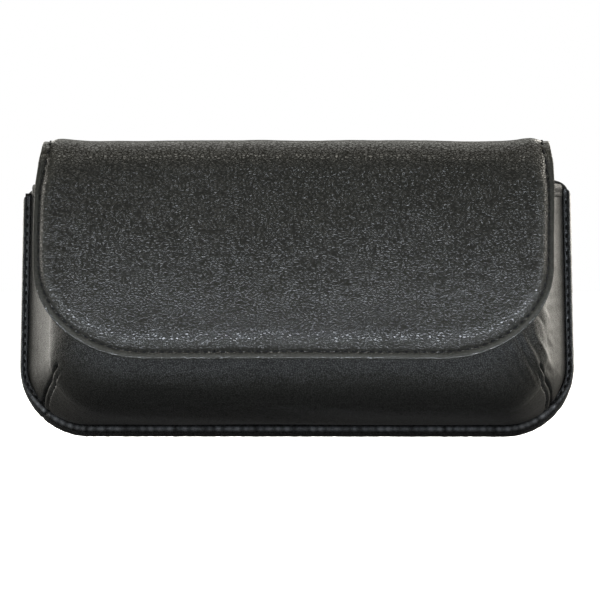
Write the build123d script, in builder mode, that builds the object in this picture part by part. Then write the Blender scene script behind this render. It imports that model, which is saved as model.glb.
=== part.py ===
from build123d import *
from math import atan2, cos, floor, pi, radians, sin, sqrt, tan
import os

# Leather ever ready case for a compact 35 mm camera: a stitched pouch with a padded flap that
# comes from the back panel, goes over the top and hangs down the front.
# Millimetres. +Z is up, the front faces -Y, +X is to the right seen from the front.
# The origin is under the middle of the case, level with its lower edge.
# "Depth" is measured forward from the outer face of the back panel.

# Overall sizes
HALF_WIDTH_FOOT = 77.4
HALF_WIDTH_SHOULDER = 76.4
SHOULDER_Z = 68.0
CASE_TOP = 82.0
CORNER_RADIUS = 19.5
SHOULDER_TURN_IN = 1.0
SHOULDER_TURN_RISE = 2.0
NECK_OUT = 2.6
NECK_RISE = 3.2
FLAP_FACE_DEPTH = 44.4
POUCH_FRONT_DEPTH = 39.6

# Thicknesses of the layers
LEATHER = 1.0
LINING = 0.6
BOARD = 0.6
FOAM = 1.2
POUCH_PADDING = 0.9
BACK_STACK = LEATHER + BOARD + LINING

# Sewn edge
BINDING = 0.6
BINDING_LEG = 3.0
SEAM_WIDTH = 3.4
SEAM_DEPTH = BACK_STACK + LINING + LEATHER
SEAM_STITCH_INSET = 1.8

# Stitches
STITCH_PITCH = 2.3
STITCH_LENGTH = 1.7
STITCH_WIDTH = 0.6
STITCH_HEIGHT = 0.35

# Pouch body
MOUTH_Z = 69.0
BELLY_RISE = 20.0
CREASE_DEPTH = 28.0
CREASE_DRAW_IN = 5.3
FRONT_HALF_WIDTH = 60.0
BODY_CORNER_RADIUS = 16.0
SECTION_ANGLES = [0, 15, 30, 45, 60, 72, 82, 90]
MOUTH_BINDING = 0.5
MOUTH_BINDING_DROP = 3.0
CUT_ABOVE = 12.0
DART_STITCHES = 9
DART_START_ANGLE = 14
DART_END_ANGLE = 60
DART_TURN = 52

# Flap
TOP_HALF_WIDTH = 68.8
FLAP_HALF_WIDTH = 70.2
FLAP_LOWER_EDGE = 23.0
FLAP_CORNER_RADIUS = 28.0
FLAP_PAD_INSET = 4.0
FLAP_STITCH_INSET = 2.1
FLAP_STACK = LINING + BOARD + FOAM + LEATHER
REAR_BEND = 6.0
FRONT_BEND = 7.5
FOLD_BEAD = 1.25
FOLD_WEB = 1.0
FOLD_FOOT = 1.0
FOLD_GAP = 0.3

# Closure magnets, one in the padding of the pouch front and one in the foam of the flap
MAGNET_RADIUS = 6.0
MAGNET_THICKNESS = 0.9
MAGNET_Z = 40.0

# Belt loop on the back
LOOP_HALF_WIDTH = 24.0
LOOP_BOTTOM = 9.0
LOOP_TOP = 66.0
LOOP_FOOT = 6.5
LOOP_RAMP = 5.0
LOOP_LEATHER = 1.2
LOOP_LINING = 0.8
LOOP_STITCH_INSET = 1.8
BELT_GAP = 5.0

# Worked out from the above
FRONT_FLANGE = BACK_STACK + LINING
BODY_TAPER = (HALF_WIDTH_FOOT - HALF_WIDTH_SHOULDER) / (SHOULDER_Z - CORNER_RADIUS)
BACK_TOP = CASE_TOP - REAR_BEND
BRIDGE_START = REAR_BEND
BRIDGE_END = FLAP_FACE_DEPTH - FRONT_BEND
BRIDGE_UNDERSIDE = CASE_TOP - FLAP_STACK
FLAP_TOP = CASE_TOP - FRONT_BEND
FLAP_INNER_DEPTH = FLAP_FACE_DEPTH - FLAP_STACK
PADDING_IN = LEATHER
LINING_IN = LEATHER + POUCH_PADDING
HOLLOW_IN = LEATHER + POUCH_PADDING + LINING
ABOVE_MOUTH = MOUTH_Z + CUT_ABOVE
LOOP_STANDOFF = BELT_GAP + LOOP_LINING + LOOP_LEATHER
BACK_Y = (FLAP_FACE_DEPTH - LOOP_STANDOFF) / 2
RAMP_LEAN = atan2(BELT_GAP, LOOP_RAMP)

# A fold turns about the point that leaves the length of the leather's middle layer unchanged
# when the bend is opened flat.
FOLD_ALONG = pi / 4
FOLD_ACROSS = 1 - pi / 4
REAR_MIDDLE = REAR_BEND - LEATHER / 2
FRONT_MIDDLE = FRONT_BEND - LEATHER / 2
REAR_FOLD_DEPTH = LEATHER / 2 + FOLD_ACROSS * REAR_MIDDLE
REAR_FOLD_Z = BACK_TOP + FOLD_ALONG * REAR_MIDDLE
FRONT_FOLD_DEPTH = BRIDGE_END + FOLD_ALONG * FRONT_MIDDLE
FRONT_FOLD_Z = CASE_TOP - LEATHER / 2 - FOLD_ACROSS * FRONT_MIDDLE

os.makedirs("parts", exist_ok=True)


def at_depth(depth):
    """Upright plane at a depth, seen from the front; its normal points forward."""
    return Plane.XZ.offset(depth - BACK_Y)


def y_at(depth):
    return BACK_Y - depth


def save(piece, name):
    """Labels a finished piece and writes its file."""
    piece.part.label = name
    export_step(piece.part, f"parts/{name}.step")


# ---------------------------------------------------------------- outlines in front view

def round_corner(half, low, radius):
    """Quarter turn of a lower right corner, as three points of its arc."""
    reach = radius * sin(pi / 4)
    middle = (half - radius + reach, low + radius - reach)
    return (half - radius, low), middle, (half, low + radius)


def back_outline(inset, top):
    """Back panel: wide below, with rounded shoulders up to the flap's width."""
    start, middle, end = round_corner(HALF_WIDTH_FOOT - inset, inset, CORNER_RADIUS - inset)
    shoulder = (HALF_WIDTH_SHOULDER - inset, SHOULDER_Z - inset)
    turn = (shoulder[0] - SHOULDER_TURN_IN, shoulder[1] + SHOULDER_TURN_RISE)
    neck = (TOP_HALF_WIDTH - inset + NECK_OUT, shoulder[1] + NECK_RISE)
    Line((0, inset), start)
    ThreePointArc(start, middle, end)
    Line(end, shoulder)
    ThreePointArc(shoulder, turn, neck)
    Line(neck, (TOP_HALF_WIDTH - inset, BACK_TOP - inset))
    Line((TOP_HALF_WIDTH - inset, BACK_TOP - inset), (TOP_HALF_WIDTH - inset, top))
    Line((TOP_HALF_WIDTH - inset, top), (0, top))


def seam_outline(inset, top):
    """The sewn edge: up both sides and round the bottom, cut level at the top."""
    start, middle, end = round_corner(HALF_WIDTH_FOOT - inset, inset, CORNER_RADIUS - inset)
    side = HALF_WIDTH_FOOT - inset - BODY_TAPER * (top - CORNER_RADIUS)
    Line((0, inset), start)
    ThreePointArc(start, middle, end)
    Line(end, (side, top))
    Line((side, top), (0, top))


def flap_outline(inset, top):
    """Flap front: nearly straight sides and wide round lower corners."""
    half = FLAP_HALF_WIDTH - inset
    start, middle, end = round_corner(half, FLAP_LOWER_EDGE + inset, FLAP_CORNER_RADIUS - inset)
    Line((0, FLAP_LOWER_EDGE + inset), start)
    ThreePointArc(start, middle, end)
    Line(end, (TOP_HALF_WIDTH - inset, top))
    Line((TOP_HALF_WIDTH - inset, top), (0, top))


def slab(outline, inset, top, back, front):
    """Plate with one of the outlines above, from one depth to another."""
    with BuildPart(mode=Mode.PRIVATE) as plate:
        with BuildSketch(at_depth(back)):
            with BuildLine():
                outline(inset, top)
                mirror(about=Plane.YZ)
            make_face()
        extrude(amount=front - back)
    return plate.part


# ---------------------------------------------------------------- stitches

def stitch_places(path, normal, pitch=STITCH_PITCH):
    """One plane for each stitch, evenly spaced along a path, lying on the face it is sewn to."""
    count = floor(path.length / pitch)
    planes = []
    for number in range(count):
        along = (number + 0.5) / count
        facing = normal(along) if callable(normal) else normal
        planes.append(Plane(path.position_at(along), path.tangent_at(along), facing))
    return planes


def stitch():
    Box(
        STITCH_LENGTH,
        STITCH_WIDTH,
        STITCH_HEIGHT,
        align=(Align.CENTER, Align.CENTER, Align.MIN),
    )


# ---------------------------------------------------------------- pouch body shape

def body_half_width(depth):
    """Half width of the pouch body: slow taper to the side crease, then round to the front."""
    valley = HALF_WIDTH_FOOT - SEAM_WIDTH
    crease = valley - CREASE_DRAW_IN
    if depth <= CREASE_DEPTH:
        return valley - CREASE_DRAW_IN * (depth - SEAM_DEPTH) / (CREASE_DEPTH - SEAM_DEPTH)
    along = (depth - CREASE_DEPTH) / (POUCH_FRONT_DEPTH - CREASE_DEPTH)
    return FRONT_HALF_WIDTH + (crease - FRONT_HALF_WIDTH) * sqrt(max(0.0, 1 - along * along))


def body_section(angle, inset):
    """Depth, half width, lowest height and corner radius of the body, back (0) to front (90)."""
    reach = sin(radians(angle))
    depth = SEAM_DEPTH + (POUCH_FRONT_DEPTH - SEAM_DEPTH) * reach
    low = SEAM_WIDTH + BELLY_RISE * (1 - cos(radians(angle)))
    half = body_half_width(depth)
    return depth - inset * reach, half - inset, low + inset, BODY_CORNER_RADIUS - inset


def body_outline(half, low, radius, top):
    start, middle, end = round_corner(half, low, radius)
    side = half - BODY_TAPER * (top - low - radius)
    Line((0, low), start)
    ThreePointArc(start, middle, end)
    Line(end, (side, top))
    Line((side, top), (0, top))


def body_solid(inset, top, start):
    """The body shrunk all round by an inset, from a starting depth to its front face."""
    with BuildPart(mode=Mode.PRIVATE) as body:
        for number, angle in enumerate([0] + SECTION_ANGLES):
            depth, half, low, radius = body_section(angle, inset)
            with BuildSketch(at_depth(depth if number else start)):
                with BuildLine():
                    body_outline(half, low, radius, top)
                    mirror(about=Plane.YZ)
                make_face()
        loft(ruled=True)
    return body.part


# ---------------------------------------------------------------- back of the pouch

with BuildPart() as back_panel:
    add(slab(back_outline, BINDING, BACK_TOP, 0, LEATHER))
save(back_panel, "back_panel")

with BuildPart() as back_board:
    add(slab(seam_outline, BINDING, SHOULDER_Z, LEATHER, LEATHER + BOARD))
save(back_board, "back_board")

with BuildPart() as back_lining:
    add(slab(back_outline, BINDING, BACK_TOP, LEATHER + BOARD, BACK_STACK))
save(back_lining, "back_lining")

# The bend at the rear of the top: a foot on the back panel, a web and a rolled bead on the fold
with BuildPart() as rear_fold_strip:
    with BuildSketch(Plane.YZ):
        with Locations((y_at(BACK_STACK / 2), BACK_TOP + FOLD_FOOT / 2)):
            Rectangle(BACK_STACK, FOLD_FOOT)
        web_height = REAR_FOLD_Z - BACK_TOP
        with Locations((y_at(REAR_FOLD_DEPTH), BACK_TOP + web_height / 2)):
            Rectangle(FOLD_WEB, web_height)
        with Locations((y_at(REAR_FOLD_DEPTH), REAR_FOLD_Z)):
            Circle(FOLD_BEAD)
    extrude(amount=TOP_HALF_WIDTH - BINDING, both=True)
save(rear_fold_strip, "rear_fold_strip")

# ---------------------------------------------------------------- front of the pouch

body_outside = body_solid(0, MOUTH_Z, FRONT_FLANGE)
under_leather = body_solid(PADDING_IN, ABOVE_MOUTH, 0)
padding_outside = body_solid(PADDING_IN, MOUTH_Z, FRONT_FLANGE)
under_padding = body_solid(LINING_IN, ABOVE_MOUTH, 0)
lining_outside = body_solid(LINING_IN, MOUTH_Z, BACK_STACK)
body_hollow = body_solid(HOLLOW_IN, ABOVE_MOUTH, 0)

with BuildPart() as front_panel:
    add(body_outside)
    add(slab(seam_outline, BINDING, SHOULDER_Z, FRONT_FLANGE, SEAM_DEPTH))
    add(under_leather, mode=Mode.SUBTRACT)
save(front_panel, "front_panel")

with BuildPart() as front_padding:
    add(padding_outside)
    add(under_padding, mode=Mode.SUBTRACT)
    with BuildSketch(at_depth(POUCH_FRONT_DEPTH - LINING_IN)):
        with Locations((0, MAGNET_Z)):
            Circle(MAGNET_RADIUS)
    extrude(amount=POUCH_PADDING, mode=Mode.SUBTRACT)
save(front_padding, "front_padding")

with BuildPart() as front_lining:
    add(lining_outside)
    add(slab(seam_outline, BINDING, SHOULDER_Z, BACK_STACK, FRONT_FLANGE))
    add(body_hollow, mode=Mode.SUBTRACT)
save(front_lining, "front_lining")

with BuildPart() as pouch_magnet:
    with BuildSketch(at_depth(POUCH_FRONT_DEPTH - LINING_IN)):
        with Locations((0, MAGNET_Z)):
            Circle(MAGNET_RADIUS)
    extrude(amount=MAGNET_THICKNESS)
save(pouch_magnet, "pouch_magnet")

# Folded strip over the raw edge of the mouth, on both faces and on top
with BuildPart() as mouth_binding:
    add(body_solid(-MOUTH_BINDING, MOUTH_Z + MOUTH_BINDING, FRONT_FLANGE))
    add(body_solid(HOLLOW_IN + MOUTH_BINDING, ABOVE_MOUTH, 0), mode=Mode.SUBTRACT)
    add(front_panel.part, mode=Mode.SUBTRACT)
    add(front_padding.part, mode=Mode.SUBTRACT)
    add(front_lining.part, mode=Mode.SUBTRACT)
    split(bisect_by=Plane.XY.offset(MOUTH_Z - MOUTH_BINDING_DROP), keep=Keep.TOP)
    split(bisect_by=at_depth(SEAM_DEPTH + BINDING + FOLD_GAP), keep=Keep.TOP)
save(mouth_binding, "mouth_binding")

# ---------------------------------------------------------------- sewn edge

with BuildPart() as edge_binding:
    add(slab(seam_outline, 0, SHOULDER_Z, -BINDING, SEAM_DEPTH + BINDING))
    add(slab(seam_outline, BINDING_LEG, ABOVE_MOUTH, -CASE_TOP, CASE_TOP), mode=Mode.SUBTRACT)
    add(slab(seam_outline, BINDING, ABOVE_MOUTH, 0, SEAM_DEPTH), mode=Mode.SUBTRACT)
save(edge_binding, "edge_binding")


def seam_path(depth):
    """The line of the edge stitches, up one side, round the bottom and up the other."""
    inset = SEAM_STITCH_INSET
    top = SHOULDER_Z - inset
    start, middle, end = round_corner(HALF_WIDTH_FOOT - inset, inset, CORNER_RADIUS - inset)
    side = HALF_WIDTH_FOOT - inset - BODY_TAPER * (top - CORNER_RADIUS)
    with BuildLine(at_depth(depth)) as line:
        Line((0, inset), start)
        ThreePointArc(start, middle, end)
        Line(end, (side, top))
        mirror(about=Plane.YZ)
    return Wire(line.edges())


with BuildPart() as edge_thread:
    with Locations(*stitch_places(seam_path(SEAM_DEPTH + BINDING), (0, -1, 0))):
        stitch()
    with Locations(*stitch_places(seam_path(-BINDING), (0, 1, 0))):
        stitch()
save(edge_thread, "edge_thread")


def body_point(angle, turn, side):
    """Point of the body's lower corner; turn runs from the bottom (0) to the side (90)."""
    depth, half, low, radius = body_section(angle, 0)
    across = half - radius + radius * sin(radians(turn))
    return Vector(side * across, y_at(depth), low + radius - radius * cos(radians(turn)))


def dart_places(side):
    """Stitches of the dart at a lower corner, running from the seam up to the front face."""
    planes = []
    step = (DART_END_ANGLE - DART_START_ANGLE) / (DART_STITCHES - 1)
    for number in range(DART_STITCHES):
        angle = DART_START_ANGLE + step * number
        here = body_point(angle, DART_TURN, side)
        along = body_point(angle + 1, DART_TURN, side) - here
        across = body_point(angle, DART_TURN + 1, side) - here
        outward = along.cross(across).normalized()
        if outward.Z > 0:
            outward = outward * -1
        planes.append(Plane(here - outward * STITCH_HEIGHT, along, outward))
    return planes


for side_name, side in (("left", -1), ("right", 1)):
    with BuildPart() as dart_thread:
        with Locations(*dart_places(side)):
            Box(
                STITCH_LENGTH,
                STITCH_WIDTH,
                2 * STITCH_HEIGHT,
                align=(Align.CENTER, Align.CENTER, Align.MIN),
            )
    save(dart_thread, f"dart_thread_{side_name}")

# Stitches along the mouth binding, round its outer face
mouth_points = []
for angle in SECTION_ANGLES[1:]:
    depth, half, low, radius = body_section(angle, -MOUTH_BINDING)
    drop = BODY_TAPER * (MOUTH_Z - MOUTH_BINDING_DROP / 2 - low - radius)
    mouth_points.append((half - drop, y_at(depth)))
with BuildLine(Plane.XY.offset(MOUTH_Z - MOUTH_BINDING_DROP / 2)) as mouth_line:
    Polyline(*mouth_points, *((-across, y) for across, y in reversed(mouth_points)))
mouth_wire = Wire(mouth_line.edges())


def mouth_normal(along):
    tangent = mouth_wire.tangent_at(along)
    outward = tangent.cross(Vector(0, 0, 1))
    return outward if outward.dot(mouth_wire.position_at(along)) > 0 else outward * -1


with BuildPart() as mouth_thread:
    with Locations(*stitch_places(mouth_wire, mouth_normal)):
        stitch()
save(mouth_thread, "mouth_thread")

# ---------------------------------------------------------------- top of the flap


def bridge_plate(side_inset, end_inset, bottom, top):
    """Level plate over the mouth, between the two bends."""
    length = BRIDGE_END - BRIDGE_START - 2 * end_inset
    middle = (BRIDGE_START + BRIDGE_END) / 2
    with BuildPart(mode=Mode.PRIVATE) as plate:
        with BuildSketch(Plane.XY.offset(bottom)):
            with Locations((0, y_at(middle))):
                Rectangle(2 * (TOP_HALF_WIDTH - side_inset), length)
        extrude(amount=top - bottom)
    return plate.part


BRIDGE_BOARD_Z = BRIDGE_UNDERSIDE + LINING
BRIDGE_FOAM_Z = BRIDGE_BOARD_Z + BOARD
BRIDGE_SKIN_Z = BRIDGE_FOAM_Z + FOAM
PAD_IN = FLAP_PAD_INSET + LEATHER

with BuildPart() as bridge_leather:
    add(bridge_plate(0, 0, BRIDGE_BOARD_Z, BRIDGE_BOARD_Z + LEATHER))
    add(bridge_plate(FLAP_PAD_INSET, 0, BRIDGE_BOARD_Z, CASE_TOP))
    add(bridge_plate(PAD_IN, LEATHER, BRIDGE_BOARD_Z, BRIDGE_SKIN_Z), mode=Mode.SUBTRACT)
    web_start = REAR_FOLD_DEPTH + FOLD_BEAD + FOLD_GAP
    web_length = BRIDGE_START - web_start
    with Locations((0, y_at(web_start + web_length / 2), REAR_FOLD_Z)):
        Box(2 * (TOP_HALF_WIDTH - BINDING), web_length, FOLD_WEB)
save(bridge_leather, "bridge_leather")

with BuildPart() as bridge_board:
    add(bridge_plate(PAD_IN, LEATHER, BRIDGE_BOARD_Z, BRIDGE_FOAM_Z))
save(bridge_board, "bridge_board")

with BuildPart() as bridge_foam:
    add(bridge_plate(PAD_IN, LEATHER, BRIDGE_FOAM_Z, BRIDGE_SKIN_Z))
save(bridge_foam, "bridge_foam")

with BuildPart() as bridge_lining:
    add(bridge_plate(0, 0, BRIDGE_UNDERSIDE, BRIDGE_BOARD_Z))
save(bridge_lining, "bridge_lining")

with BuildPart() as bridge_thread:
    for side in (-1, 1):
        row = side * (TOP_HALF_WIDTH - FLAP_STITCH_INSET)
        with BuildLine(Plane.XY.offset(BRIDGE_BOARD_Z + LEATHER)) as row_line:
            Line((row, y_at(BRIDGE_START)), (row, y_at(BRIDGE_END)))
        with Locations(*stitch_places(row_line.wires()[0], (0, 0, 1))):
            stitch()
save(bridge_thread, "bridge_thread")

# The bend at the front of the top: a web from the bridge and a rolled bead on the fold
with BuildPart() as front_fold_strip:
    with BuildSketch(Plane.YZ):
        web_depth = (BRIDGE_END + FRONT_FOLD_DEPTH) / 2
        with Locations((y_at(web_depth), FRONT_FOLD_Z)):
            Rectangle(FRONT_FOLD_DEPTH - BRIDGE_END, FOLD_WEB)
        with Locations((y_at(FRONT_FOLD_DEPTH), FRONT_FOLD_Z)):
            Circle(FOLD_BEAD)
    extrude(amount=TOP_HALF_WIDTH - BINDING, both=True)
save(front_fold_strip, "front_fold_strip")

# ---------------------------------------------------------------- front of the flap

FLAP_BOARD_DEPTH = FLAP_INNER_DEPTH + LINING
FLAP_FOAM_DEPTH = FLAP_BOARD_DEPTH + BOARD
FLAP_SKIN_DEPTH = FLAP_FOAM_DEPTH + FOAM

with BuildPart() as flap_leather:
    add(slab(flap_outline, 0, FLAP_TOP, FLAP_BOARD_DEPTH, FLAP_BOARD_DEPTH + LEATHER))
    add(slab(flap_outline, FLAP_PAD_INSET, FLAP_TOP, FLAP_BOARD_DEPTH, FLAP_FACE_DEPTH))
    add(
        slab(flap_outline, PAD_IN, FLAP_TOP - LEATHER, FLAP_BOARD_DEPTH, FLAP_SKIN_DEPTH),
        mode=Mode.SUBTRACT,
    )
    web_top = FRONT_FOLD_Z - FOLD_BEAD - FOLD_GAP
    with Locations((0, y_at(FRONT_FOLD_DEPTH), (FLAP_TOP + web_top) / 2)):
        Box(2 * (TOP_HALF_WIDTH - BINDING), FOLD_WEB, web_top - FLAP_TOP)
save(flap_leather, "flap_leather")

with BuildPart() as flap_board:
    add(slab(flap_outline, PAD_IN, FLAP_TOP - LEATHER, FLAP_BOARD_DEPTH, FLAP_FOAM_DEPTH))
save(flap_board, "flap_board")

with BuildPart() as flap_foam:
    add(slab(flap_outline, PAD_IN, FLAP_TOP - LEATHER, FLAP_FOAM_DEPTH, FLAP_SKIN_DEPTH))
    with BuildSketch(at_depth(FLAP_FOAM_DEPTH)):
        with Locations((0, MAGNET_Z)):
            Circle(MAGNET_RADIUS)
    extrude(amount=MAGNET_THICKNESS, mode=Mode.SUBTRACT)
save(flap_foam, "flap_foam")

with BuildPart() as flap_magnet:
    with BuildSketch(at_depth(FLAP_FOAM_DEPTH)):
        with Locations((0, MAGNET_Z)):
            Circle(MAGNET_RADIUS)
    extrude(amount=MAGNET_THICKNESS)
save(flap_magnet, "flap_magnet")

with BuildPart() as flap_lining:
    add(slab(flap_outline, 0, FLAP_TOP, FLAP_INNER_DEPTH, FLAP_BOARD_DEPTH))
save(flap_lining, "flap_lining")

with BuildPart() as flap_thread:
    inset = FLAP_STITCH_INSET
    low = FLAP_LOWER_EDGE + inset
    start, middle, end = round_corner(FLAP_HALF_WIDTH - inset, low, FLAP_CORNER_RADIUS - inset)
    with BuildLine(at_depth(FLAP_BOARD_DEPTH + LEATHER)) as flap_line:
        Line((0, low), start)
        ThreePointArc(start, middle, end)
        Line(end, (TOP_HALF_WIDTH - inset, FLAP_TOP))
        mirror(about=Plane.YZ)
    with Locations(*stitch_places(Wire(flap_line.edges()), (0, -1, 0))):
        stitch()
save(flap_thread, "flap_thread")

# ---------------------------------------------------------------- belt loop


def loop_points(layer):
    """Side view of the strap at one face of a layer, bottom to top, as (Y, Z) points."""
    shift = layer * tan(RAMP_LEAN / 2)
    foot_end = LOOP_FOOT - shift
    ramp_end = LOOP_FOOT + LOOP_RAMP - shift
    return [
        (y_at(-layer), LOOP_BOTTOM),
        (y_at(-layer), LOOP_BOTTOM + foot_end),
        (y_at(-layer - BELT_GAP), LOOP_BOTTOM + ramp_end),
        (y_at(-layer - BELT_GAP), LOOP_TOP - ramp_end),
        (y_at(-layer), LOOP_TOP - foot_end),
        (y_at(-layer), LOOP_TOP),
    ]


def strap(inner, outer):
    with BuildPart(mode=Mode.PRIVATE) as layer:
        with BuildSketch(Plane.YZ):
            with BuildLine():
                Polyline(*loop_points(inner), *reversed(loop_points(outer)), close=True)
            make_face()
        extrude(amount=LOOP_HALF_WIDTH, both=True)
    return layer.part


with BuildPart() as belt_loop_lining:
    add(strap(0, LOOP_LINING))
save(belt_loop_lining, "belt_loop_lining")

with BuildPart() as belt_loop:
    add(strap(LOOP_LINING, LOOP_LINING + LOOP_LEATHER))
save(belt_loop, "belt_loop")

for row_name, foot_z in (("lower", LOOP_BOTTOM), ("upper", LOOP_TOP - LOOP_FOOT)):
    with BuildPart() as loop_thread:
        row_half = LOOP_HALF_WIDTH - LOOP_STITCH_INSET
        foot_plane = at_depth(-LOOP_LINING - LOOP_LEATHER)
        for height in (LOOP_STITCH_INSET, LOOP_FOOT - LOOP_STITCH_INSET):
            with BuildLine(foot_plane) as foot_line:
                Line((-row_half, foot_z + height), (row_half, foot_z + height))
            with Locations(*stitch_places(foot_line.wires()[0], (0, 1, 0))):
                stitch()
    save(loop_thread, f"belt_loop_thread_{row_name}")
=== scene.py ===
"""Looks of the leather ever ready case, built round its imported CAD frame.

Lengths below are millimetres and points are (x, depth, z), where depth is measured forward from
the outer face of the back panel; to_row() turns them into metres in the row frame.
"""
import math

import bmesh
import bpy
import numpy as np
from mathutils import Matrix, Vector
from mathutils.geometry import delaunay_2d_cdt


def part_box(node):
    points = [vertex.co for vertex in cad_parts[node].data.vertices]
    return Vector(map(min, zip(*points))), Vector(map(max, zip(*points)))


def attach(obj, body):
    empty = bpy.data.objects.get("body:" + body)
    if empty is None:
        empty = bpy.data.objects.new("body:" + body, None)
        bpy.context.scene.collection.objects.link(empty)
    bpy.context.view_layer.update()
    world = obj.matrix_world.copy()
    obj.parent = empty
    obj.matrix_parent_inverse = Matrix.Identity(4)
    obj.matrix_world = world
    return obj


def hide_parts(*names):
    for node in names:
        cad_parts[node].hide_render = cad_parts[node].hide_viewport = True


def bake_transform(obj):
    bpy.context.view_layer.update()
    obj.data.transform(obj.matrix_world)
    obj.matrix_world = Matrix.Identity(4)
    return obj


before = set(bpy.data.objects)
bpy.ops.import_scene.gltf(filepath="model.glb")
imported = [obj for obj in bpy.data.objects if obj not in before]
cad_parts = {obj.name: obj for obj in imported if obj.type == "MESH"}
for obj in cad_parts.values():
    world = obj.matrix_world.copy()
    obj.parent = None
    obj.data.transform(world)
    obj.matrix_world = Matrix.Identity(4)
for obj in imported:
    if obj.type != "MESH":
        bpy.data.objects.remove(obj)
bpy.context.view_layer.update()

MM = 0.001
SHARP = math.radians(60)


# ---- sizes, from the frame

def corner(node, side):
    """One corner of a CAD node's box in millimetres: side 0 is the lowest, 1 the highest."""
    return np.array(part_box(node)[side]) / MM


BACK_Y = corner("back_panel", 1)[1]
FOOT_HALF = corner("edge_binding", 1)[0]
FLAP_INNER = BACK_Y - corner("flap_lining", 1)[1]
POUCH_FRONT = BACK_Y - corner("front_panel", 0)[1]
BRIDGE_UNDER = corner("bridge_lining", 0)[2]
SHOULDER_Z = corner("edge_binding", 1)[2]
MOUTH_Z = corner("front_panel", 1)[2]
FLAP_HALF = corner("flap_leather", 1)[0]
FLAP_LOW = corner("flap_leather", 0)[2] - 0.5

# Layers
LEATHER = 1.0
LINING = 0.6
POUCH_WALL = 1.9
PAD = 1.8

# Outlines
CORNER_R = 19.5
SHOULDER_HALF = FOOT_HALF - 1.0
SHOULDER_R = 3.4
BINDING_PAST = (-0.4, 1.4)
SHOULDER_SHIFT = (-1.2, 0.8)
BINDING_END_R = 2.0
NECK_HALF = 68.3
NECK_LEAN = 1.3
FLAP_WIDEST_Z = 56.0
FLAP_CORNER = (31.0, 25.5)

# Seam and stitches
SEAM_DEPTH = 3.8
PITCH = 2.35
FLAP_STITCH_IN = 2.1
THREAD_R = 0.32
STITCH_LENGTH = 1.75
SHORT_STITCH = 1.7
STITCH_PROUD = 0.09

# Pouch body
BODY_R = 16.0
BELLY_RISE = POUCH_FRONT - SEAM_DEPTH
BELLY_TOP = 23.4
BELLY_BOX = 0.87
SEAM_LOW = 3.5
SIDE_SEAM = 2.35
CREASE_DEPTH = 26.5
CREASE_HALF = 68.2
FRONT_HALF = 56.0


# ---- small tools

def to_row(points):
    """(x, depth, z) in millimetres to the row frame in metres."""
    points = np.asarray(points, float)
    return np.stack([points[:, 0], BACK_Y - points[:, 1], points[:, 2]], 1) * MM


def ramp(low, high, value):
    """0 below low, 1 above high, and a smooth rise between."""
    share = np.clip((np.asarray(value, float) - low) / (high - low), 0, 1)
    return share * share * (3 - 2 * share)


def bump(centre, width, value):
    return np.exp(-(((np.asarray(value, float) - centre) / width) ** 2))


def unit(vectors):
    """Vectors of length one, along the last axis."""
    return vectors / np.linalg.norm(vectors, axis=-1)[..., None]


def pull_of(along, step, start=0.0):
    """How hard the thread pulls at each distance: 1 at a stitch's middle, 0 between two."""
    return 0.5 + 0.5 * np.cos(2 * math.pi * ((along - start) / step - 0.5))


def distances(points):
    """Distance run along a polyline at each of its points."""
    return np.r_[0, np.cumsum(np.linalg.norm(np.diff(points, axis=0), axis=1))]


def read(at, along, values):
    """Rows of values, read between the distances at which they are known."""
    return np.stack([np.interp(at, along, column) for column in values.T], 1)


def upright(line, offset=0.0):
    """(x, z) pairs as points at one depth."""
    return np.stack([line[:, 0], offset + 0 * line[:, 0], line[:, 1]], 1)


class Ripples:
    """Smooth, seeded, uneven height field: a sum of waves in many directions."""

    def __init__(self, seed, length, stretch=1.0, waves=14):
        rng = np.random.default_rng(seed)
        angle = rng.uniform(0, 2 * math.pi, waves)
        size = 2 * math.pi / (length * rng.uniform(0.6, 1.8, waves))
        self.kx = np.cos(angle) * size / stretch
        self.ky = np.sin(angle) * size
        self.phase = rng.uniform(0, 2 * math.pi, waves)

    def __call__(self, x, y):
        x = np.asarray(x, float)[..., None]
        y = np.asarray(y, float)[..., None]
        return np.sin(x * self.kx + y * self.ky + self.phase).sum(-1) / math.sqrt(len(self.kx))


def spaced(points, step):
    """The polyline's points again, evenly spaced at about step, and their distances."""
    points = np.asarray(points, float)
    along = distances(points)
    at = np.linspace(0, along[-1], max(2, int(round(along[-1] / step)) + 1))
    return read(at, along, points), at


def smoothed(path, times):
    """The polyline with each inner point drawn towards its neighbours, several times."""
    path = path.copy()
    for _ in range(times):
        path[1:-1] = (path[:-2] + 2 * path[1:-1] + path[2:]) / 4
    return path


def arc(centre, radii, start, end, count=40, power=2.0):
    """Points of a quarter superellipse or arc, angles in degrees."""
    angle = np.radians(np.linspace(start, end, count))
    c, s = np.cos(angle), np.sin(angle)
    x = centre[0] + radii[0] * np.sign(c) * np.abs(c) ** (2 / power)
    y = centre[1] + radii[1] * np.sign(s) * np.abs(s) ** (2 / power)
    return np.stack([x, y], 1)


def mirrored(half_line):
    """A line from the middle of the bottom up the right side, with its mirror image first."""
    half_line = np.asarray(half_line, float)
    left = half_line[::-1] * np.array([-1, 1])
    return np.vstack([left, half_line[1:]])


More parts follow.
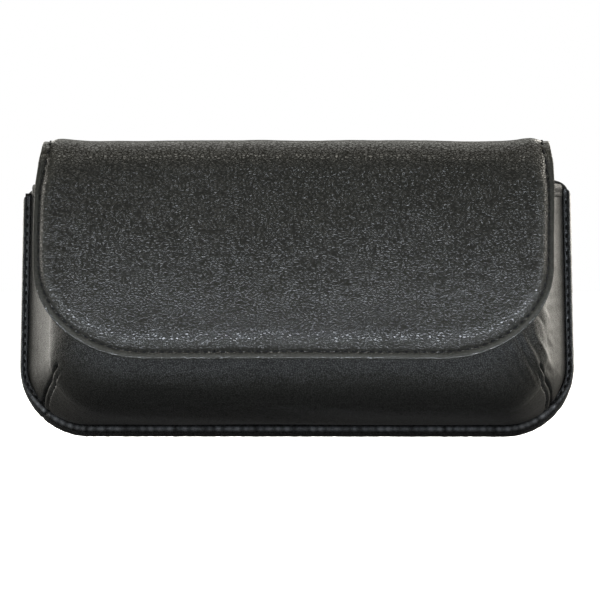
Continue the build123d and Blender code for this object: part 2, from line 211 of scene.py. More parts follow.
def make(name, points, faces, material, body=None, slot="", cad=()):
    """Piece from millimetre points and faces, in its material, in place of some CAD nodes; the slot
    argument is not used.

    It rides a body when one is given.
    """
    mesh = bpy.data.meshes.new(name)
    mesh.from_pydata(to_row(points).tolist(), [], [tuple(int(i) for i in f) for f in faces])
    work = bmesh.new()
    work.from_mesh(mesh)
    bmesh.ops.recalc_face_normals(work, faces=work.faces)
    for edge in work.edges:
        edge.smooth = not (edge.is_manifold and edge.calc_face_angle() > SHARP)
    work.to_mesh(mesh)
    work.free()
    mesh.polygons.foreach_set("use_smooth", [True] * len(mesh.polygons))
    mesh.materials.append(material)
    obj = bpy.data.objects.new(name, mesh)
    bpy.context.scene.collection.objects.link(obj)
    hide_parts(*cad)
    if body:
        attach(obj, body)
    return obj


def sew(name, stitches, cad):
    """A row of stitches that stays with the pouch."""
    make(name, *stitches, THREAD, "pouch", "thread", (cad,))


def stain(obj, name, values):
    """Stores one number per vertex, for the material to read."""
    attribute = obj.data.attributes.new(name, "FLOAT", "POINT")
    attribute.data.foreach_set("value", np.asarray(values, np.float32))


# ---- sheets with a U-shaped edge

ROW_STEP = 0.866
CLEAR_OF_EDGE = 0.62
BLOCK = 64
FAR = 1e9


def inside(points, loop):
    """Which points lie inside a closed loop."""
    x, y = points[:, 0][:, None], points[:, 1][:, None]
    x0, y0 = loop[:, 0], loop[:, 1]
    x1, y1 = np.roll(x0, -1), np.roll(y0, -1)
    crosses = (y0 > y) != (y1 > y)
    reach = x0 + (y - y0) * (x1 - x0) / np.where(y1 == y0, 1e-12, y1 - y0)
    return (crosses & (x < reach)).sum(1) % 2 == 1


def nearest(points, line):
    """Distance from each point to a polyline's points, and the index of the nearest one."""
    gap = np.full(len(points), FAR)
    which = np.zeros(len(points), int)
    for start in range(0, len(line), BLOCK):
        d = np.linalg.norm(points[:, None] - line[None, start : start + BLOCK], axis=2)
        k = d.argmin(1)
        best = d[np.arange(len(points)), k]
        closer = best < gap
        gap[closer] = best[closer]
        which[closer] = start + k[closer]
    return gap, which


def fill(loop, step):
    """Even points inside a closed loop, and triangles over the loop and those points."""
    low, high = loop.min(0), loop.max(0)
    rows = np.arange(low[1] + step / 2, high[1], step * ROW_STEP)
    starts = [low[0] + (k % 2) * step / 2 for k in range(len(rows))]
    grid = np.array([(x, y) for y, x0 in zip(rows, starts) for x in np.arange(x0, high[0], step)])
    grid = grid[inside(grid, loop)]
    grid = grid[nearest(grid, loop)[0] > CLEAR_OF_EDGE * step]
    every = np.vstack([loop, grid])
    edges = [(i, (i + 1) % len(loop)) for i in range(len(loop))]
    out = delaunay_2d_cdt([Vector(p) for p in every], edges, [], 1, 1e-7)
    source = [o[0] if o else -1 for o in out[3]]
    faces = [tuple(source[i] for i in f) for f in out[2]]
    return grid, [f for f in faces if min(f) >= 0]


def inward_of(line):
    """Unit normals of a line in its own plane, to its left: into the sheet it goes round."""
    tangent = unit(np.gradient(line, axis=0))
    return np.stack([-tangent[:, 1], tangent[:, 0]], 1)


def offset_line(outline, inset, share=1.0):
    """The outline set in by inset times share, its two ends kept on the open top edge."""
    line = outline + inward_of(outline) * inset * share
    line[[0, -1], 1] = outline[[0, -1], 1]
    return line


def inset_rings(outline, insets, share=1.0):
    return [offset_line(outline, inset, share) for inset in insets]


class Sheet:
    """Flat cut of a sheet: rings of points set in from a U-shaped outline, and a filled middle.

    The rings have equally many points, from the left end of the open top edge, down, round and
    up to the right.
    """

    def __init__(self, rings, step):
        last, n = rings[-1], len(rings[0])
        cuts = max(2, int(round((last[-1, 0] - last[0, 0]) / step)))
        part = np.linspace(0, 1, cuts + 1)[1:-1, None]
        top_line = last[-1] + (last[0] - last[-1]) * part
        grid, triangles = fill(np.vstack([last, top_line]), step)
        self.middle = np.vstack([top_line, grid])
        self.flat = np.vstack([*rings, self.middle])
        base = (len(rings) - 1) * n
        self.faces = [tuple(base + i for i in f) for f in triangles]
        for start in range(0, base, n):
            for a in range(start, start + n - 1):
                self.faces.append((a, a + 1, a + 1 + n, a + n))
        ends_right = list(range(2 * n - 1, base + n, n))
        top = list(range(base + n, base + n + len(top_line)))
        self.border = list(range(n)) + ends_right + top + list(range(base, 0, -n))

    def shell(self, outer, inner):
        """Points and faces of the closed shell between two surfaces over this sheet."""
        n = len(self.flat)
        faces = self.faces + [tuple(n + i for i in reversed(f)) for f in self.faces]
        for a, b in zip(self.border, self.border[1:] + self.border[:1]):
            faces.append((b, a, a + n, b + n))
        return np.vstack([outer, inner]), faces


# ---- sweeps and stitches

def tube_faces(rows, cols, start=0):
    """Faces of a closed tube with capped ends, from rings of points that begin at start."""
    faces = []
    for i in range(rows - 1):
        for j in range(cols):
            k = (j + 1) % cols
            a, b = start + i * cols, start + (i + 1) * cols
            faces.append((a + j, a + k, b + k, b + j))
    faces.append(tuple(start + j for j in range(cols))[::-1])
    faces.append(tuple(start + (rows - 1) * cols + j for j in range(cols)))
    return faces


def sweep(origins, across, outward, profiles):
    """Closed tube with capped ends. profiles is (stations, points, 2) in across and outward."""
    points = (
        origins[:, None]
        + across[:, None] * profiles[..., :1]
        + outward[:, None] * profiles[..., 1:]
    )
    return points.reshape(-1, 3), tube_faces(*profiles.shape[:2])


STITCH_RINGS, STITCH_SIDES = 11, 10
STITCH_DIVE = 0.55


def stitch_mesh(centres, tangents, normals, length, radius, seed, slant=0.0):
    """Short two-ply stitches: each one dives into its holes at both ends."""
    rng = np.random.default_rng(seed)
    along = np.linspace(-1, 1, STITCH_RINGS)
    around = np.linspace(0, 2 * math.pi, STITCH_SIDES, endpoint=False)
    points, faces = [], []
    for centre, tangent, normal in zip(centres, tangents, normals):
        side = unit(np.cross(tangent, normal))
        turn = slant + rng.normal(0, 0.05)
        tangent = tangent * math.cos(turn) + side * math.sin(turn)
        side = np.cross(tangent, normal)
        half = length / 2 * (1 + rng.normal(0, 0.04))
        lift = rng.normal(0, 0.02)
        faces += tube_faces(STITCH_RINGS, STITCH_SIDES, len(points))
        for t in along:
            thin = math.sqrt(max(0.0, 1 - abs(t) ** 5)) * radius + 0.02
            dive = -STITCH_DIVE * abs(t) ** 3.0 + lift
            for phi in around:
                ply = 1 + 0.16 * math.cos(2 * phi + 5.5 * t)
                offset = side * math.cos(phi) * 1.05 + normal * math.sin(phi) * 0.9
                points.append(centre + tangent * t * half + normal * dive + offset * thin * ply)
    return np.array(points), faces


# ---- materials

class Paint:
    """Small helper for building a node material."""

    def __init__(self, name):
        self.material = bpy.data.materials.new(name)
        self.material.use_nodes = True
        self.tree = self.material.node_tree
        self.shader = self.tree.nodes["Principled BSDF"]
        self.rest_place = None

    def feed(self, socket, value):
        """Links an output to a socket, or sets the socket's own number or colour."""
        if isinstance(value, bpy.types.NodeSocket):
            self.tree.links.new(value, socket)
        elif socket.type == "RGBA":
            socket.default_value = (*value, 1)
        else:
            socket.default_value = value

    def add(self, kind, output, inputs=(), **settings):
        """A new node with its sockets fed, and one of its outputs."""
        node = self.tree.nodes.new(kind)
        for key, value in settings.items():
            setattr(node, key, value)
        for key, value in dict(inputs).items():
            self.feed(node.inputs[key], value)
        return node.outputs[output]

    def place(self, scale):
        """Position on the piece in its own rest shape, stretched by a scale on each axis."""
        if self.rest_place is None:
            self.rest_place = self.add("ShaderNodeTexCoord", "Object")
        return self.add("ShaderNodeMapping", "Vector", {"Scale": scale, "Vector": self.rest_place})

    def noise(self, scale, detail=3.0, stretch=(1, 1, 1), roughness=0.55):
        inputs = {"Scale": scale, "Detail": detail, "Roughness": roughness}
        return self.add("ShaderNodeTexNoise", "Fac", {**inputs, "Vector": self.place(stretch)})

    def cells(self, scale, stretch):
        """Distance to the edge of the nearest cell."""
        inputs = {"Scale": scale, "Vector": self.place(stretch)}
        return self.add("ShaderNodeTexVoronoi", "Distance", inputs, feature="DISTANCE_TO_EDGE")

    def math(self, operation, first, second):
        return self.add("ShaderNodeMath", 0, {0: first, 1: second}, operation=operation)

    def range(self, value, low, high, to_low, to_high):
        limits = {"From Min": low, "From Max": high, "To Min": to_low, "To Max": to_high}
        return self.add("ShaderNodeMapRange", "Result", {**limits, "Value": value})

    def mix(self, share, first, second):
        """Mixes two colours; an RGBA mix keeps them in its sockets 6 and 7."""
        sockets = {"Factor": share, 6: first, 7: second}
        return self.add("ShaderNodeMix", 2, sockets, data_type="RGBA")

    def attribute(self, name):
        return self.add("ShaderNodeAttribute", "Fac", attribute_name=name)

    def bump(self, height, distance, strength, below=None):
        inputs = {"Distance": distance, "Strength": strength, "Height": height}
        if below is not None:
            inputs["Normal"] = below
        return self.add("ShaderNodeBump", "Normal", inputs)

    def set(self, **values):
        for name, value in values.items():
            self.feed(self.shader.inputs[name.replace("_", " ")], value)


def shade(colour, share):
    """A colour made darker or lighter."""
    return tuple(share * c for c in colour)


def leather(name, base, worn_and_highlight_colour, roughness, grain, depth, shine=0.5, stretch=(0.9, 1, 1.1), coat=0.0):
    """Dyed leather: pebbles with a shiny top between dull creases darkened by painted shade, and a
    lighter second colour laid by a stored map, which is real rubbing on some pieces and painted
    highlights on others.
    """
    paint = Paint(name)
    edge = paint.cells(grain, stretch)
    fine = paint.noise(grain * 1.7, 2.0, stretch)
    broad = paint.noise(220, 2.0, (0.8, 1, 1.2))
    cloud = paint.noise(26, 4.0)
    edge = paint.math("ADD", edge, paint.range(fine, 0.3, 0.7, -0.10, 0.08))
    top = paint.range(edge, 0.02, 0.28, 0, 1)
    flattened = paint.range(paint.attribute("pressed"), 0, 1, 1.0, 0.3)
    height = paint.math("ADD", top, paint.math("MULTIPLY", fine, 0.8))
    height = paint.math("MULTIPLY", height, flattened)
    normal = paint.bump(broad, 0.0003, 0.2)
    normal = paint.bump(height, depth, 1.0, normal)
    patchy = paint.range(fine, 0.3, 0.75, 0.55, 1.2)
    # The stored map read here holds real rubbing and painted highlights.
    wear_and_highlight = paint.math("MULTIPLY", paint.attribute("wear_and_highlight"), patchy)
    tone = paint.mix(paint.range(cloud, 0.35, 0.7, 0, 1), shade(base, 0.82), base)
    # Painted shade: the creases between the pebbles are darkened in the colour itself.
    tone = paint.mix(paint.range(top, 0, 1, 0.7, 0), tone, shade(base, 0.35))
    rough = paint.range(cloud, 0.3, 0.7, roughness - 0.03, roughness + 0.04)
    paint.set(
        Base_Color=paint.mix(wear_and_highlight, tone, worn_and_highlight_colour),
        Roughness=paint.math("ADD", rough, paint.math("MULTIPLY", wear_and_highlight, -0.10)),
        Normal=normal,
        Specular_IOR_Level=paint.range(top, 0, 1, 0.1 * shine, 1.15 * shine),
        Coat_Weight=paint.range(wear_and_highlight, 0.3, 0.9, 0, coat),
        Coat_Roughness=0.12,
        Sheen_Weight=0.04,
        Sheen_Roughness=0.45,
    )
    return paint.material


def suede(name, base):
    """Brushed lining cloth: short nap with soft light and dark patches."""
    paint = Paint(name)
    nap = paint.noise(2600, 2.0)
    patch = paint.noise(60, 4.0, (0.6, 1, 1.4))
    tone = paint.mix(patch, shade(base, 0.7), shade(base, 1.35))
    tone = paint.mix(paint.range(nap, 0.3, 0.7, 0, 0.5), tone, shade(base, 0.55))
    normal = paint.bump(patch, 0.0006, 0.25)
    paint.set(
        Base_Color=tone,
        Roughness=0.92,
        Sheen_Weight=0.5,
        Sheen_Roughness=0.5,
        Normal=paint.bump(nap, 0.00016, 0.8, normal),
    )
    return paint.material


def twine(name, base):
    """Waxed thread: fine fibres along the ply and a low sheen."""
    paint = Paint(name)
    fibre = paint.noise(5200, 2.0, (1, 1, 0.5))
    cloud = paint.noise(140, 2.0)
    tone = paint.mix(paint.range(fibre, 0.3, 0.7, 0, 1), shade(base, 0.6), base)
    paint.set(
        Base_Color=paint.mix(paint.range(cloud, 0.35, 0.7, 0, 0.5), tone, shade(base, 1.5)),
        Roughness=0.75,
        Specular_IOR_Level=0.12,
        Sheen_Weight=0.05,
        Normal=paint.bump(fibre, 0.00008, 0.7),
    )
    return paint.material


def plate(name, base, metallic, roughness, scale, depth):
    """Plain inner parts: fibre board, or plated metal with a brushed haze."""
    paint = Paint(name)
    grain = paint.noise(scale, 4.0, (1, 1, 0.3))
    paint.set(
        Base_Color=paint.mix(grain, shade(base, 0.75), shade(base, 1.15)),
        Metallic=metallic,
        Roughness=paint.range(grain, 0.3, 0.7, roughness - 0.06, roughness + 0.08),
        Normal=paint.bump(grain, depth, 0.5),
    )
    return paint.material


# Second colours go where the stored map says: on the cover leather partly real rubbing and partly
# painted highlights, on the body leather painted highlights only.
COVER = leather(
    "cover_leather", (0.0215, 0.0208, 0.0176), (0.055, 0.054, 0.047), 0.21, 1250, 0.00006,
    stretch=(0.75, 1, 1.35),
)
BODY_COVER = leather(
    "body_leather", (0.0190, 0.0186, 0.0162), (0.045, 0.044, 0.038), 0.46, 2000, 0.00003, 0.27
)
MOUTH_TRIM = leather(
    "mouth_leather", (0.0170, 0.0170, 0.0155), (0.03, 0.03, 0.028), 0.62, 1800, 0.00003, 0.10
)
# The binding's light bluish second colour is a painted highlight along its crest, with a little
# real rubbing at its edges.
TRIM = leather(
    "binding_leather", (0.0190, 0.0192, 0.0180), (0.42, 0.44, 0.47), 0.36, 1900, 0.00003, 0.6,
    coat=1.0,
)
LOOP_COVER = leather(
    "loop_leather", (0.0190, 0.0190, 0.0170), (0.05, 0.05, 0.045), 0.45, 1300, 0.00004
)
NAP = suede("lining_nap", (0.022, 0.022, 0.023))
THREAD = twine("waxed_thread", (0.005, 0.005, 0.005))
BOARD_FACE = plate("board_fibre", (0.16, 0.15, 0.13), 0.0, 0.85, 700, 0.0002)
NICKEL = plate("magnet_nickel", (0.55, 0.54, 0.52), 1.0, 0.3, 1500, 0.00002)


# ---- flap and top

FRONT_BASE = FLAP_INNER + LINING
BEND_R = 5.0
BEND_Z = BRIDGE_UNDER + LINING - BEND_R
BEND_D = FRONT_BASE - BEND_R
MIDDLE_D = 21.0
FRONT_TOP_Y = BEND_Z + BEND_R * math.pi / 2 + BEND_D - MIDDLE_D

REAR_A = 5.5
REAR_B = 6.0
REAR_Z = BRIDGE_UNDER + LINING - REAR_B
REAR_D = LEATHER + REAR_A
REAR_ROOT = math.sqrt((3 * REAR_A + REAR_B) * (REAR_A + 3 * REAR_B))
REAR_ARC = math.pi / 4 * (3 * (REAR_A + REAR_B) - REAR_ROOT)
REAR_TOP_Y = REAR_Z + REAR_ARC + MIDDLE_D - REAR_D
MIDDLE_FADE = FRONT_TOP_Y - 0.5


def front_base(y):
    """Where flat height y of the flap lies: depth, z, normal, and how far round the bend."""
    turn = np.clip((y - BEND_Z) / BEND_R, 0, math.pi / 2)
    past = np.clip(y - BEND_Z - BEND_R * math.pi / 2, 0, None)
    depth = BEND_D + BEND_R * np.cos(turn) - past
    z = np.where(y < BEND_Z, y, BEND_Z + BEND_R * np.sin(turn))
    return depth, z, np.cos(turn), np.sin(turn)


def rear_base(y):
    """The same for the back panel and the rear half of the top."""
    turn = np.clip((y - REAR_Z) / REAR_ARC, 0, 1) * math.pi / 2
    past = np.clip(y - REAR_Z - REAR_ARC, 0, None)
    depth = REAR_D - REAR_A * np.cos(turn) + past
    z = np.where(y < REAR_Z, y, REAR_Z + REAR_B * np.sin(turn))
    return depth, z, -np.cos(turn), np.sin(turn)


def flap_outline():
    a, b = FLAP_CORNER
    turn = arc((FLAP_HALF - a, FLAP_LOW + b), (a, b), 270, 360, 60, 2.06)
    half = [(0, FLAP_LOW + 0.15), (20, FLAP_LOW + 0.05), *turn[1:], (FLAP_HALF, FLAP_WIDEST_Z)]
    half += [(FLAP_HALF - 0.5, 69), (FLAP_HALF - 1.5, 75.5), (NECK_HALF - 0.2, 78)]
    half += [(NECK_HALF - 0.5, 80.5), (NECK_HALF - 0.3, 84), (NECK_HALF - 0.1, FRONT_TOP_Y)]
    outline = mirrored(half)
    outline[:, 0] += NECK_LEAN * ramp(62, 76, outline[:, 1]) * (outline[:, 0] > 0)
    return spaced(outline, 0.5)[0]


def back_outline():
    foot = FOOT_HALF - 0.6
    shoulder = SHOULDER_HALF - 0.6
    turn = arc((foot - CORNER_R, 0.6 + CORNER_R), (CORNER_R, CORNER_R), 270, 360, 50)
    wide = SHOULDER_R + 1.0
    top = arc((shoulder - wide, SHOULDER_Z - 0.6), (wide, SHOULDER_R), 0, 82, 24)
    half = [(0, 0.6), *turn, (shoulder, SHOULDER_Z - 4), *top]
    half += [(NECK_HALF + 1.5, 72.8), (NECK_HALF + 0.6, 75), (NECK_HALF + 0.1, 78)]
    half += [(NECK_HALF, 84), (NECK_HALF - 0.1, REAR_TOP_Y)]
    outline = mirrored(half)
    sides = np.where(outline[:, 0] < 0, *SHOULDER_SHIFT)
    outline[:, 1] += sides * ramp(60, 66, outline[:, 1]) * ramp(76, 71, outline[:, 1])
    outline[:, 0] += NECK_LEAN * ramp(70, 77, outline[:, 1]) * (outline[:, 0] > 0)
    return spaced(outline, 0.6)[0]


def strip_share(y):
    """The stitched strip along the edge is narrower up the sides than along the bottom."""
    return 1 - 0.28 * ramp(FLAP_LOW + 6, FLAP_LOW + 30, y) * ramp(78, 64, y)


def edge_round(inset):
    """Height of a cut and painted leather edge, from the middle of the edge to the face."""
    nose = np.sqrt(1 - np.clip(1 - inset / 0.45, 0, 1) ** 2)
    return LEATHER * (0.62 + 0.38 * nose) + 0.05 * bump(0.9, 0.5, inset)


def edge_under(inset):
    """Height of the leather's inner face, which turns up a little at the cut edge."""
    return 0.04 + 0.22 * np.clip(1 - inset / 0.4, 0, 1) ** 2


SKIN_INSETS = [0, 0.06, 0.2, 0.42, 0.7, 1.1, 1.5, 1.72, 1.9, 2.04, 2.18, 2.34, 2.55, 2.85, 3.2]
FLAP_INSETS = SKIN_INSETS + [3.6, 4.1, 4.7, 5.4, 6.3, 7.4, 8.8, 10.6, 12.6]
BACK_INSETS = [0, 0.1, 0.3, 0.6, 1.0, 1.45, 1.75, 1.95, 2.1, 2.28, 2.5]

slow_wave = Ripples(3, 26, 1.3)
mid_wave = Ripples(5, 9, 1.5)
small_wave = Ripples(8, 3.6, 1.4)
sag_wave = Ripples(12, 40)


def groove(inset, pull, depth=0.62):
    """Valley under a row of stitches, deepest where each stitch pulls the leather down."""
    valley = bump(FLAP_STITCH_IN, 0.30, inset)
    swell = bump(FLAP_STITCH_IN - 1.0, 0.5, inset) + bump(FLAP_STITCH_IN + 1.1, 0.6, inset)
    return -depth * valley * (0.14 + 0.9 * pull) - 0.08 * swell * pull


def flap_height(flat, inset, pull):
    """Height of the flap's leather over the lining's outer face."""
    x, y = flat[:, 0], flat[:, 1]
    foot = ramp(FLAP_LOW + 26, FLAP_LOW + 4, y)
    roll = 2.7 + 4.2 * foot + 1.3 * ramp(BEND_Z - 4, BEND_Z + 2, y)
    share = np.clip((inset - FLAP_STITCH_IN) / roll, 0, 1)
    pad = PAD * np.sin(share * math.pi / 2) ** 0.85 * thin_at_ends(x, y, BEND_Z)
    crown = 0.55 * ramp(4, 26, inset) * ramp(BEND_Z + 2, BEND_Z - 20, y)
    loose = ramp(3, 12, inset)
    wave = 0.13 * slow_wave(x, y) + 0.035 * mid_wave(x, y)
    near_edge = bump(FLAP_STITCH_IN + 2.6, 2.0, inset)
    pucker = 0.05 * small_wave(x, y) * near_edge + 0.02 * small_wave(x * 1.7, y * 1.7)
    shown = ramp(MIDDLE_FADE, MIDDLE_FADE - 3, y)
    sunk = groove(inset, pull) * (1 - 0.35 * ramp(30, 45, y))
    sunk = sunk * (1 - 0.9 * ramp(BEND_Z, BEND_Z + 4, y))
    return edge_round(inset) + sunk + pad + crown + loose * wave * shown + pucker * shown


def top_sag(x, turn_up):
    """The top sinks a little between its two ends, which stay proud."""
    lift = -0.25 + 1.5 * ramp(50, 65, np.abs(x)) - 0.10 * sag_wave(x, 0 * x)
    return lift * turn_up ** 2


def thin_at_ends(x, y, bend):
    """How much of the padding is left: it is pressed thinner at both ends of the top."""
    return 1 - 0.45 * ramp(50, 61, np.abs(x)) * ramp(bend - 4, bend + 4, y)


def placer(base):
    """A function that stands flat points off a bent base shape by their heights."""

    def place(flat, height):
        depth, z, forward, up = base(flat[:, 1])
        z = z + top_sag(flat[:, 0], up)
        return np.stack([flat[:, 0], depth + height * forward, z + height * up], 1)

    return place


place_flap, place_back = placer(front_base), placer(rear_base)


class Row:
    """A row of stitches that runs round a sheet, and how it pulls at the leather."""

    def __init__(self, outline, place):
        inset = FLAP_STITCH_IN * strip_share(outline[:, 1])[:, None]
        self.line, self.along = spaced(offset_line(outline, inset), 0.25)
        self.edge = spaced(outline, 0.2)[0]
        self.count = int(self.along[-1] // PITCH)
        self.place = place

    def near(self, flat):
        """Distance from the edge, in shares of the stitched strip's width."""
        return nearest(flat, self.edge)[0] / strip_share(flat[:, 1])

    def pull(self, flat):
        return pull_of(self.along[nearest(flat, self.line)[1]], self.along[-1] / self.count)

    def mesh(self, surface, seed, keep=None, facing=1.0):
        """Stitches lying on a surface, on its outer side or, facing -1, on its inner side."""

        def at(distance):
            flat = read(distance, self.along, self.line)
            return flat, self.place(flat, surface(flat) + facing * STITCH_PROUD)

        s = (np.arange(self.count) + 0.5) * self.along[-1] / self.count
        flat, centres = at(s)
        if keep is not None:
            chosen = keep(flat)
            s, centres, flat = s[chosen], centres[chosen], flat[chosen]
        tangents = unit(at(s + 0.25)[1] - at(s - 0.25)[1])
        low, high = self.place(flat, surface(flat)), self.place(flat, surface(flat) + 1.0)
        outward = unit(facing * (high - low))
        outward = unit(outward - tangents * (outward * tangents).sum(1)[:, None])
        return stitch_mesh(centres, tangents, outward, STITCH_LENGTH, THREAD_R, seed, 0.05)


def joined(first, second):
    """Two sets of points and faces as one."""
    shift = len(first[0])
    moved = [tuple(shift + i for i in face) for face in second[1]]
    return np.vstack([first[0], second[0]]), first[1] + moved


def blend_over(obj, low_body, high_body, start, end):
    """Bakes a piece's place into its points; the two bodies and start and end, (depth, z) in
    millimetres, are not used.
    """
    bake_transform(obj)


FRONT_ZONE = ((34.0, 84.5), (44.0, 68.0))
REAR_ZONE = ((-0.5, 68.0), (10.5, 84.5))


def front_blend(obj):
    blend_over(obj, "flap_top", "flap_front", *FRONT_ZONE)


def rear_blend(obj):
    blend_over(obj, "pouch", "flap_top", *REAR_ZONE)


def skin_piece(name, row, sheet, height_of, wear_and_highlight_of, cad, bend):
    """Padded leather over a sheet: its stitched edge, and its rubbing and painted highlights."""
    flat = sheet.flat
    gap = row.near(flat)
    height = height_of(flat, gap, row.pull(flat))
    points, faces = sheet.shell(row.place(flat, height), row.place(flat, edge_under(gap)))
    skin = make(name, points, faces, COVER, slot="grained_leather", cad=cad)
    stain(skin, "wear_and_highlight", np.tile(wear_and_highlight_of(flat, gap), 2))
    stain(skin, "pressed", np.tile(ramp(3.4, 2.4, gap), 2))
    bend(skin)
    return skin


def thread_piece(name, row, height_of, seeds, keeps, cad, bend):
    """Both sides of a row of stitches: over the leather, and under the lining."""

    def surface(flat):
        return height_of(flat, row.near(flat), np.ones(len(flat)))

    def under_lining(flat):
        return np.full(len(flat), -LINING)

    points, faces = joined(
        row.mesh(surface, seeds[0], keeps[0]), row.mesh(under_lining, seeds[1], keeps[1], -1.0)
    )
    bend(make(name, points, faces, THREAD, slot="thread", cad=cad))


def lining_piece(name, sheet, place, outer, inner, cad, bend):
    """Lining cloth glued over a sheet, between two heights."""
    points, faces = sheet.shell(place(sheet.flat, outer), place(sheet.flat, inner))
    cloth = make(name, points, faces, NAP, slot="lining_cloth", cad=cad)
    bend(cloth)


def flap_wear_and_highlight(flat, gap):
    """The cut edge is lighter up the sides, partly from rubbing and partly as a painted highlight;
    painted highlights also run along the stitched strip, the bottom edge, the padded roll and the
    top's bend.
    """
    # Cut edge up the sides, part rubbing and part painted highlight; painted highlights along the
    # strip and the bottom edge.
    up_side = ramp(30, 45, flat[:, 1])
    wear_and_highlight = 0.55 * up_side * bump(0.1, 0.22, gap) + 0.38 * bump(1.0, 0.6, gap)
    wear_and_highlight += 0.6 * (1 - up_side) * bump(0.85, 0.42, gap)
    # Painted highlight over the top's bend.
    bend = 0.12 * ramp(BEND_Z - 3, BEND_Z + 6, flat[:, 1])
    # Painted highlight on the padded roll.
    return wear_and_highlight + (0.25 * bump(FLAP_STITCH_IN + 2.2, 1.6, gap) + bend)


def make_flap():
    outline = flap_outline()
    row = Row(outline, place_flap)
    share = strip_share(outline[:, 1])[:, None]
    sheet = Sheet(inset_rings(outline, FLAP_INSETS, share), 1.5)
    skin = skin_piece(
        "flap_skin", row, sheet, flap_height, flap_wear_and_highlight,
        ("flap_leather", "front_fold_strip", "flap_foam", "flap_board"), front_blend,
    )
    thread_piece(
        "flap_stitching", row, flap_height, (21, 23), (None, None), ("flap_thread",), front_blend
    )
    lining = Sheet(inset_rings(offset_line(outline, 0.25), [0, 0.5, 1.4, 3.0]), 2.6)
    lay = 0.05 * slow_wave(lining.flat[:, 0] * 1.4, lining.flat[:, 1] * 1.4)
    lining_piece(
        "flap_lining_cloth", lining, place_flap, np.full(len(lay), -0.02),
        -LINING + np.minimum(lay, 0.08), ("flap_lining",), front_blend,
    )


def back_height(flat, inset, pull):
    """Height of the leather of the back and of the top's rear half over the lining."""
    x, y = flat[:, 0], flat[:, 1]
    on_top = ramp(REAR_Z - 2, REAR_Z + 6, y)
    share = np.clip((inset - FLAP_STITCH_IN) / 4.0, 0, 1)
    pad = PAD * np.sin(share * math.pi / 2) ** 0.85 * on_top * thin_at_ends(x, y, REAR_Z)
    row = 0.1 * ramp(SHOULDER_Z + 2, SHOULDER_Z + 6, y)
    flat_part = 1 - ramp(REAR_Z - 6, REAR_Z, y)
    wave = 0.10 * slow_wave(x + 31, y) + 0.02 * mid_wave(x, y)
    shown = ramp(REAR_TOP_Y - 0.5, REAR_TOP_Y - 3.5, y) * ramp(3, 12, inset)
    sunk = groove(inset, pull) * row
    return edge_round(inset) + sunk + pad + wave * shown * (0.5 + 0.5 * flat_part)


# Lighter cut edge, part rubbing and part painted highlight, and a painted highlight over the top's
# rear bend.
def back_wear_and_highlight(flat, gap):
    return 0.8 * bump(0.25, 0.35, gap) + 0.15 * ramp(REAR_Z - 3, REAR_Z + 4, flat[:, 1])


def above(height):
    """Keeps the stitches above a height."""
    return lambda flat: flat[:, 1] > height


def make_back():
    outline = back_outline()
    row = Row(outline, place_back)
    share = strip_share(outline[:, 1])[:, None]
    sheet = Sheet(inset_rings(outline, BACK_INSETS, share), 1.5)
    skin = skin_piece(
        "back_skin", row, sheet, back_height, back_wear_and_highlight,
        ("back_panel", "rear_fold_strip", "bridge_leather", "bridge_foam", "bridge_board"),
        rear_blend,
    )
    thread_piece(
        "bridge_stitching", row, back_height, (22, 24),
        (above(SHOULDER_Z + 4.5), above(REAR_Z + 7)), ("bridge_thread",), rear_blend,
    )
    lining = Sheet(inset_rings(offset_line(outline, 0.3), [0, 0.6, 1.6]), 2.8)
    drop = -0.6 * (1 - ramp(REAR_Z - 3, REAR_Z + 7, lining.flat[:, 1]))
    lining_piece(
        "back_lining_cloth", lining, place_back, drop - 0.02, drop - LINING,
        ("back_lining", "bridge_lining"), rear_blend,
    )


# ---- pouch body

SIDE_COUNT, BOTTOM_COUNT = 62, 96
SIDE_TAPER = 48.5
SKEW = 1.2
DART_THETA = [0, 2.3, 7.6, 15, 23.7, 40, 70]
DART_PHI = [46, 41, 35.4, 28, 23.3, 21.5, 21.4]
DART_END = 51.0
DART_STITCH_IN = 1.75


def arc_angles():
    """Angles round the lower corner, closer together where the dart runs."""
    coarse = np.arange(0, 90.01, 1.8)
    fine = np.arange(15, 50.01, 0.5)
    return np.unique(np.round(np.r_[coarse[(coarse < 15) | (coarse > 50)], fine], 3))


PHI = arc_angles()


def body_section(theta, inset):
    """Depth, half width, lowest height and corner radius of the body; theta 0 seam, 90 front."""
    reach = math.sin(math.radians(theta))
    rise = abs(math.cos(math.radians(theta))) ** BELLY_BOX
    depth = SEAM_DEPTH + BELLY_RISE * reach ** BELLY_BOX
    low = SEAM_LOW + (BELLY_TOP - SEAM_LOW) * (1 - rise)
    valley = FOOT_HALF - SIDE_SEAM
    if depth < CREASE_DEPTH:
        share = (depth - SEAM_DEPTH) / (CREASE_DEPTH - SEAM_DEPTH)
        half = valley - (valley - CREASE_HALF) * (share + 0.03 * math.sin(math.pi * share))
    else:
        along = (depth - CREASE_DEPTH) / (POUCH_FRONT - CREASE_DEPTH)
        half = FRONT_HALF + (CREASE_HALF - FRONT_HALF) * math.sqrt(max(0, 1 - along * along))
    return depth - inset * reach, half - inset, low + inset, BODY_R - inset


def outline_at(half, low, radius, top):
    """Right half of a U-shaped section, from its top down to the middle of the bottom."""
    phi = np.radians(PHI)
    start = low + radius
    z_side = np.linspace(top, start, SIDE_COUNT + 1)[:-1]
    x_side = half - (z_side - start) / SIDE_TAPER
    x_arc = half - radius + radius * np.cos(phi)
    z_arc = start - radius * np.sin(phi)
    x_low = np.linspace(half - radius, 0, BOTTOM_COUNT + 1)[1:]
    z_low = np.full(BOTTOM_COUNT, low)
    return np.stack([np.r_[x_side, x_arc, x_low], np.r_[z_side, z_arc, z_low]], 1)


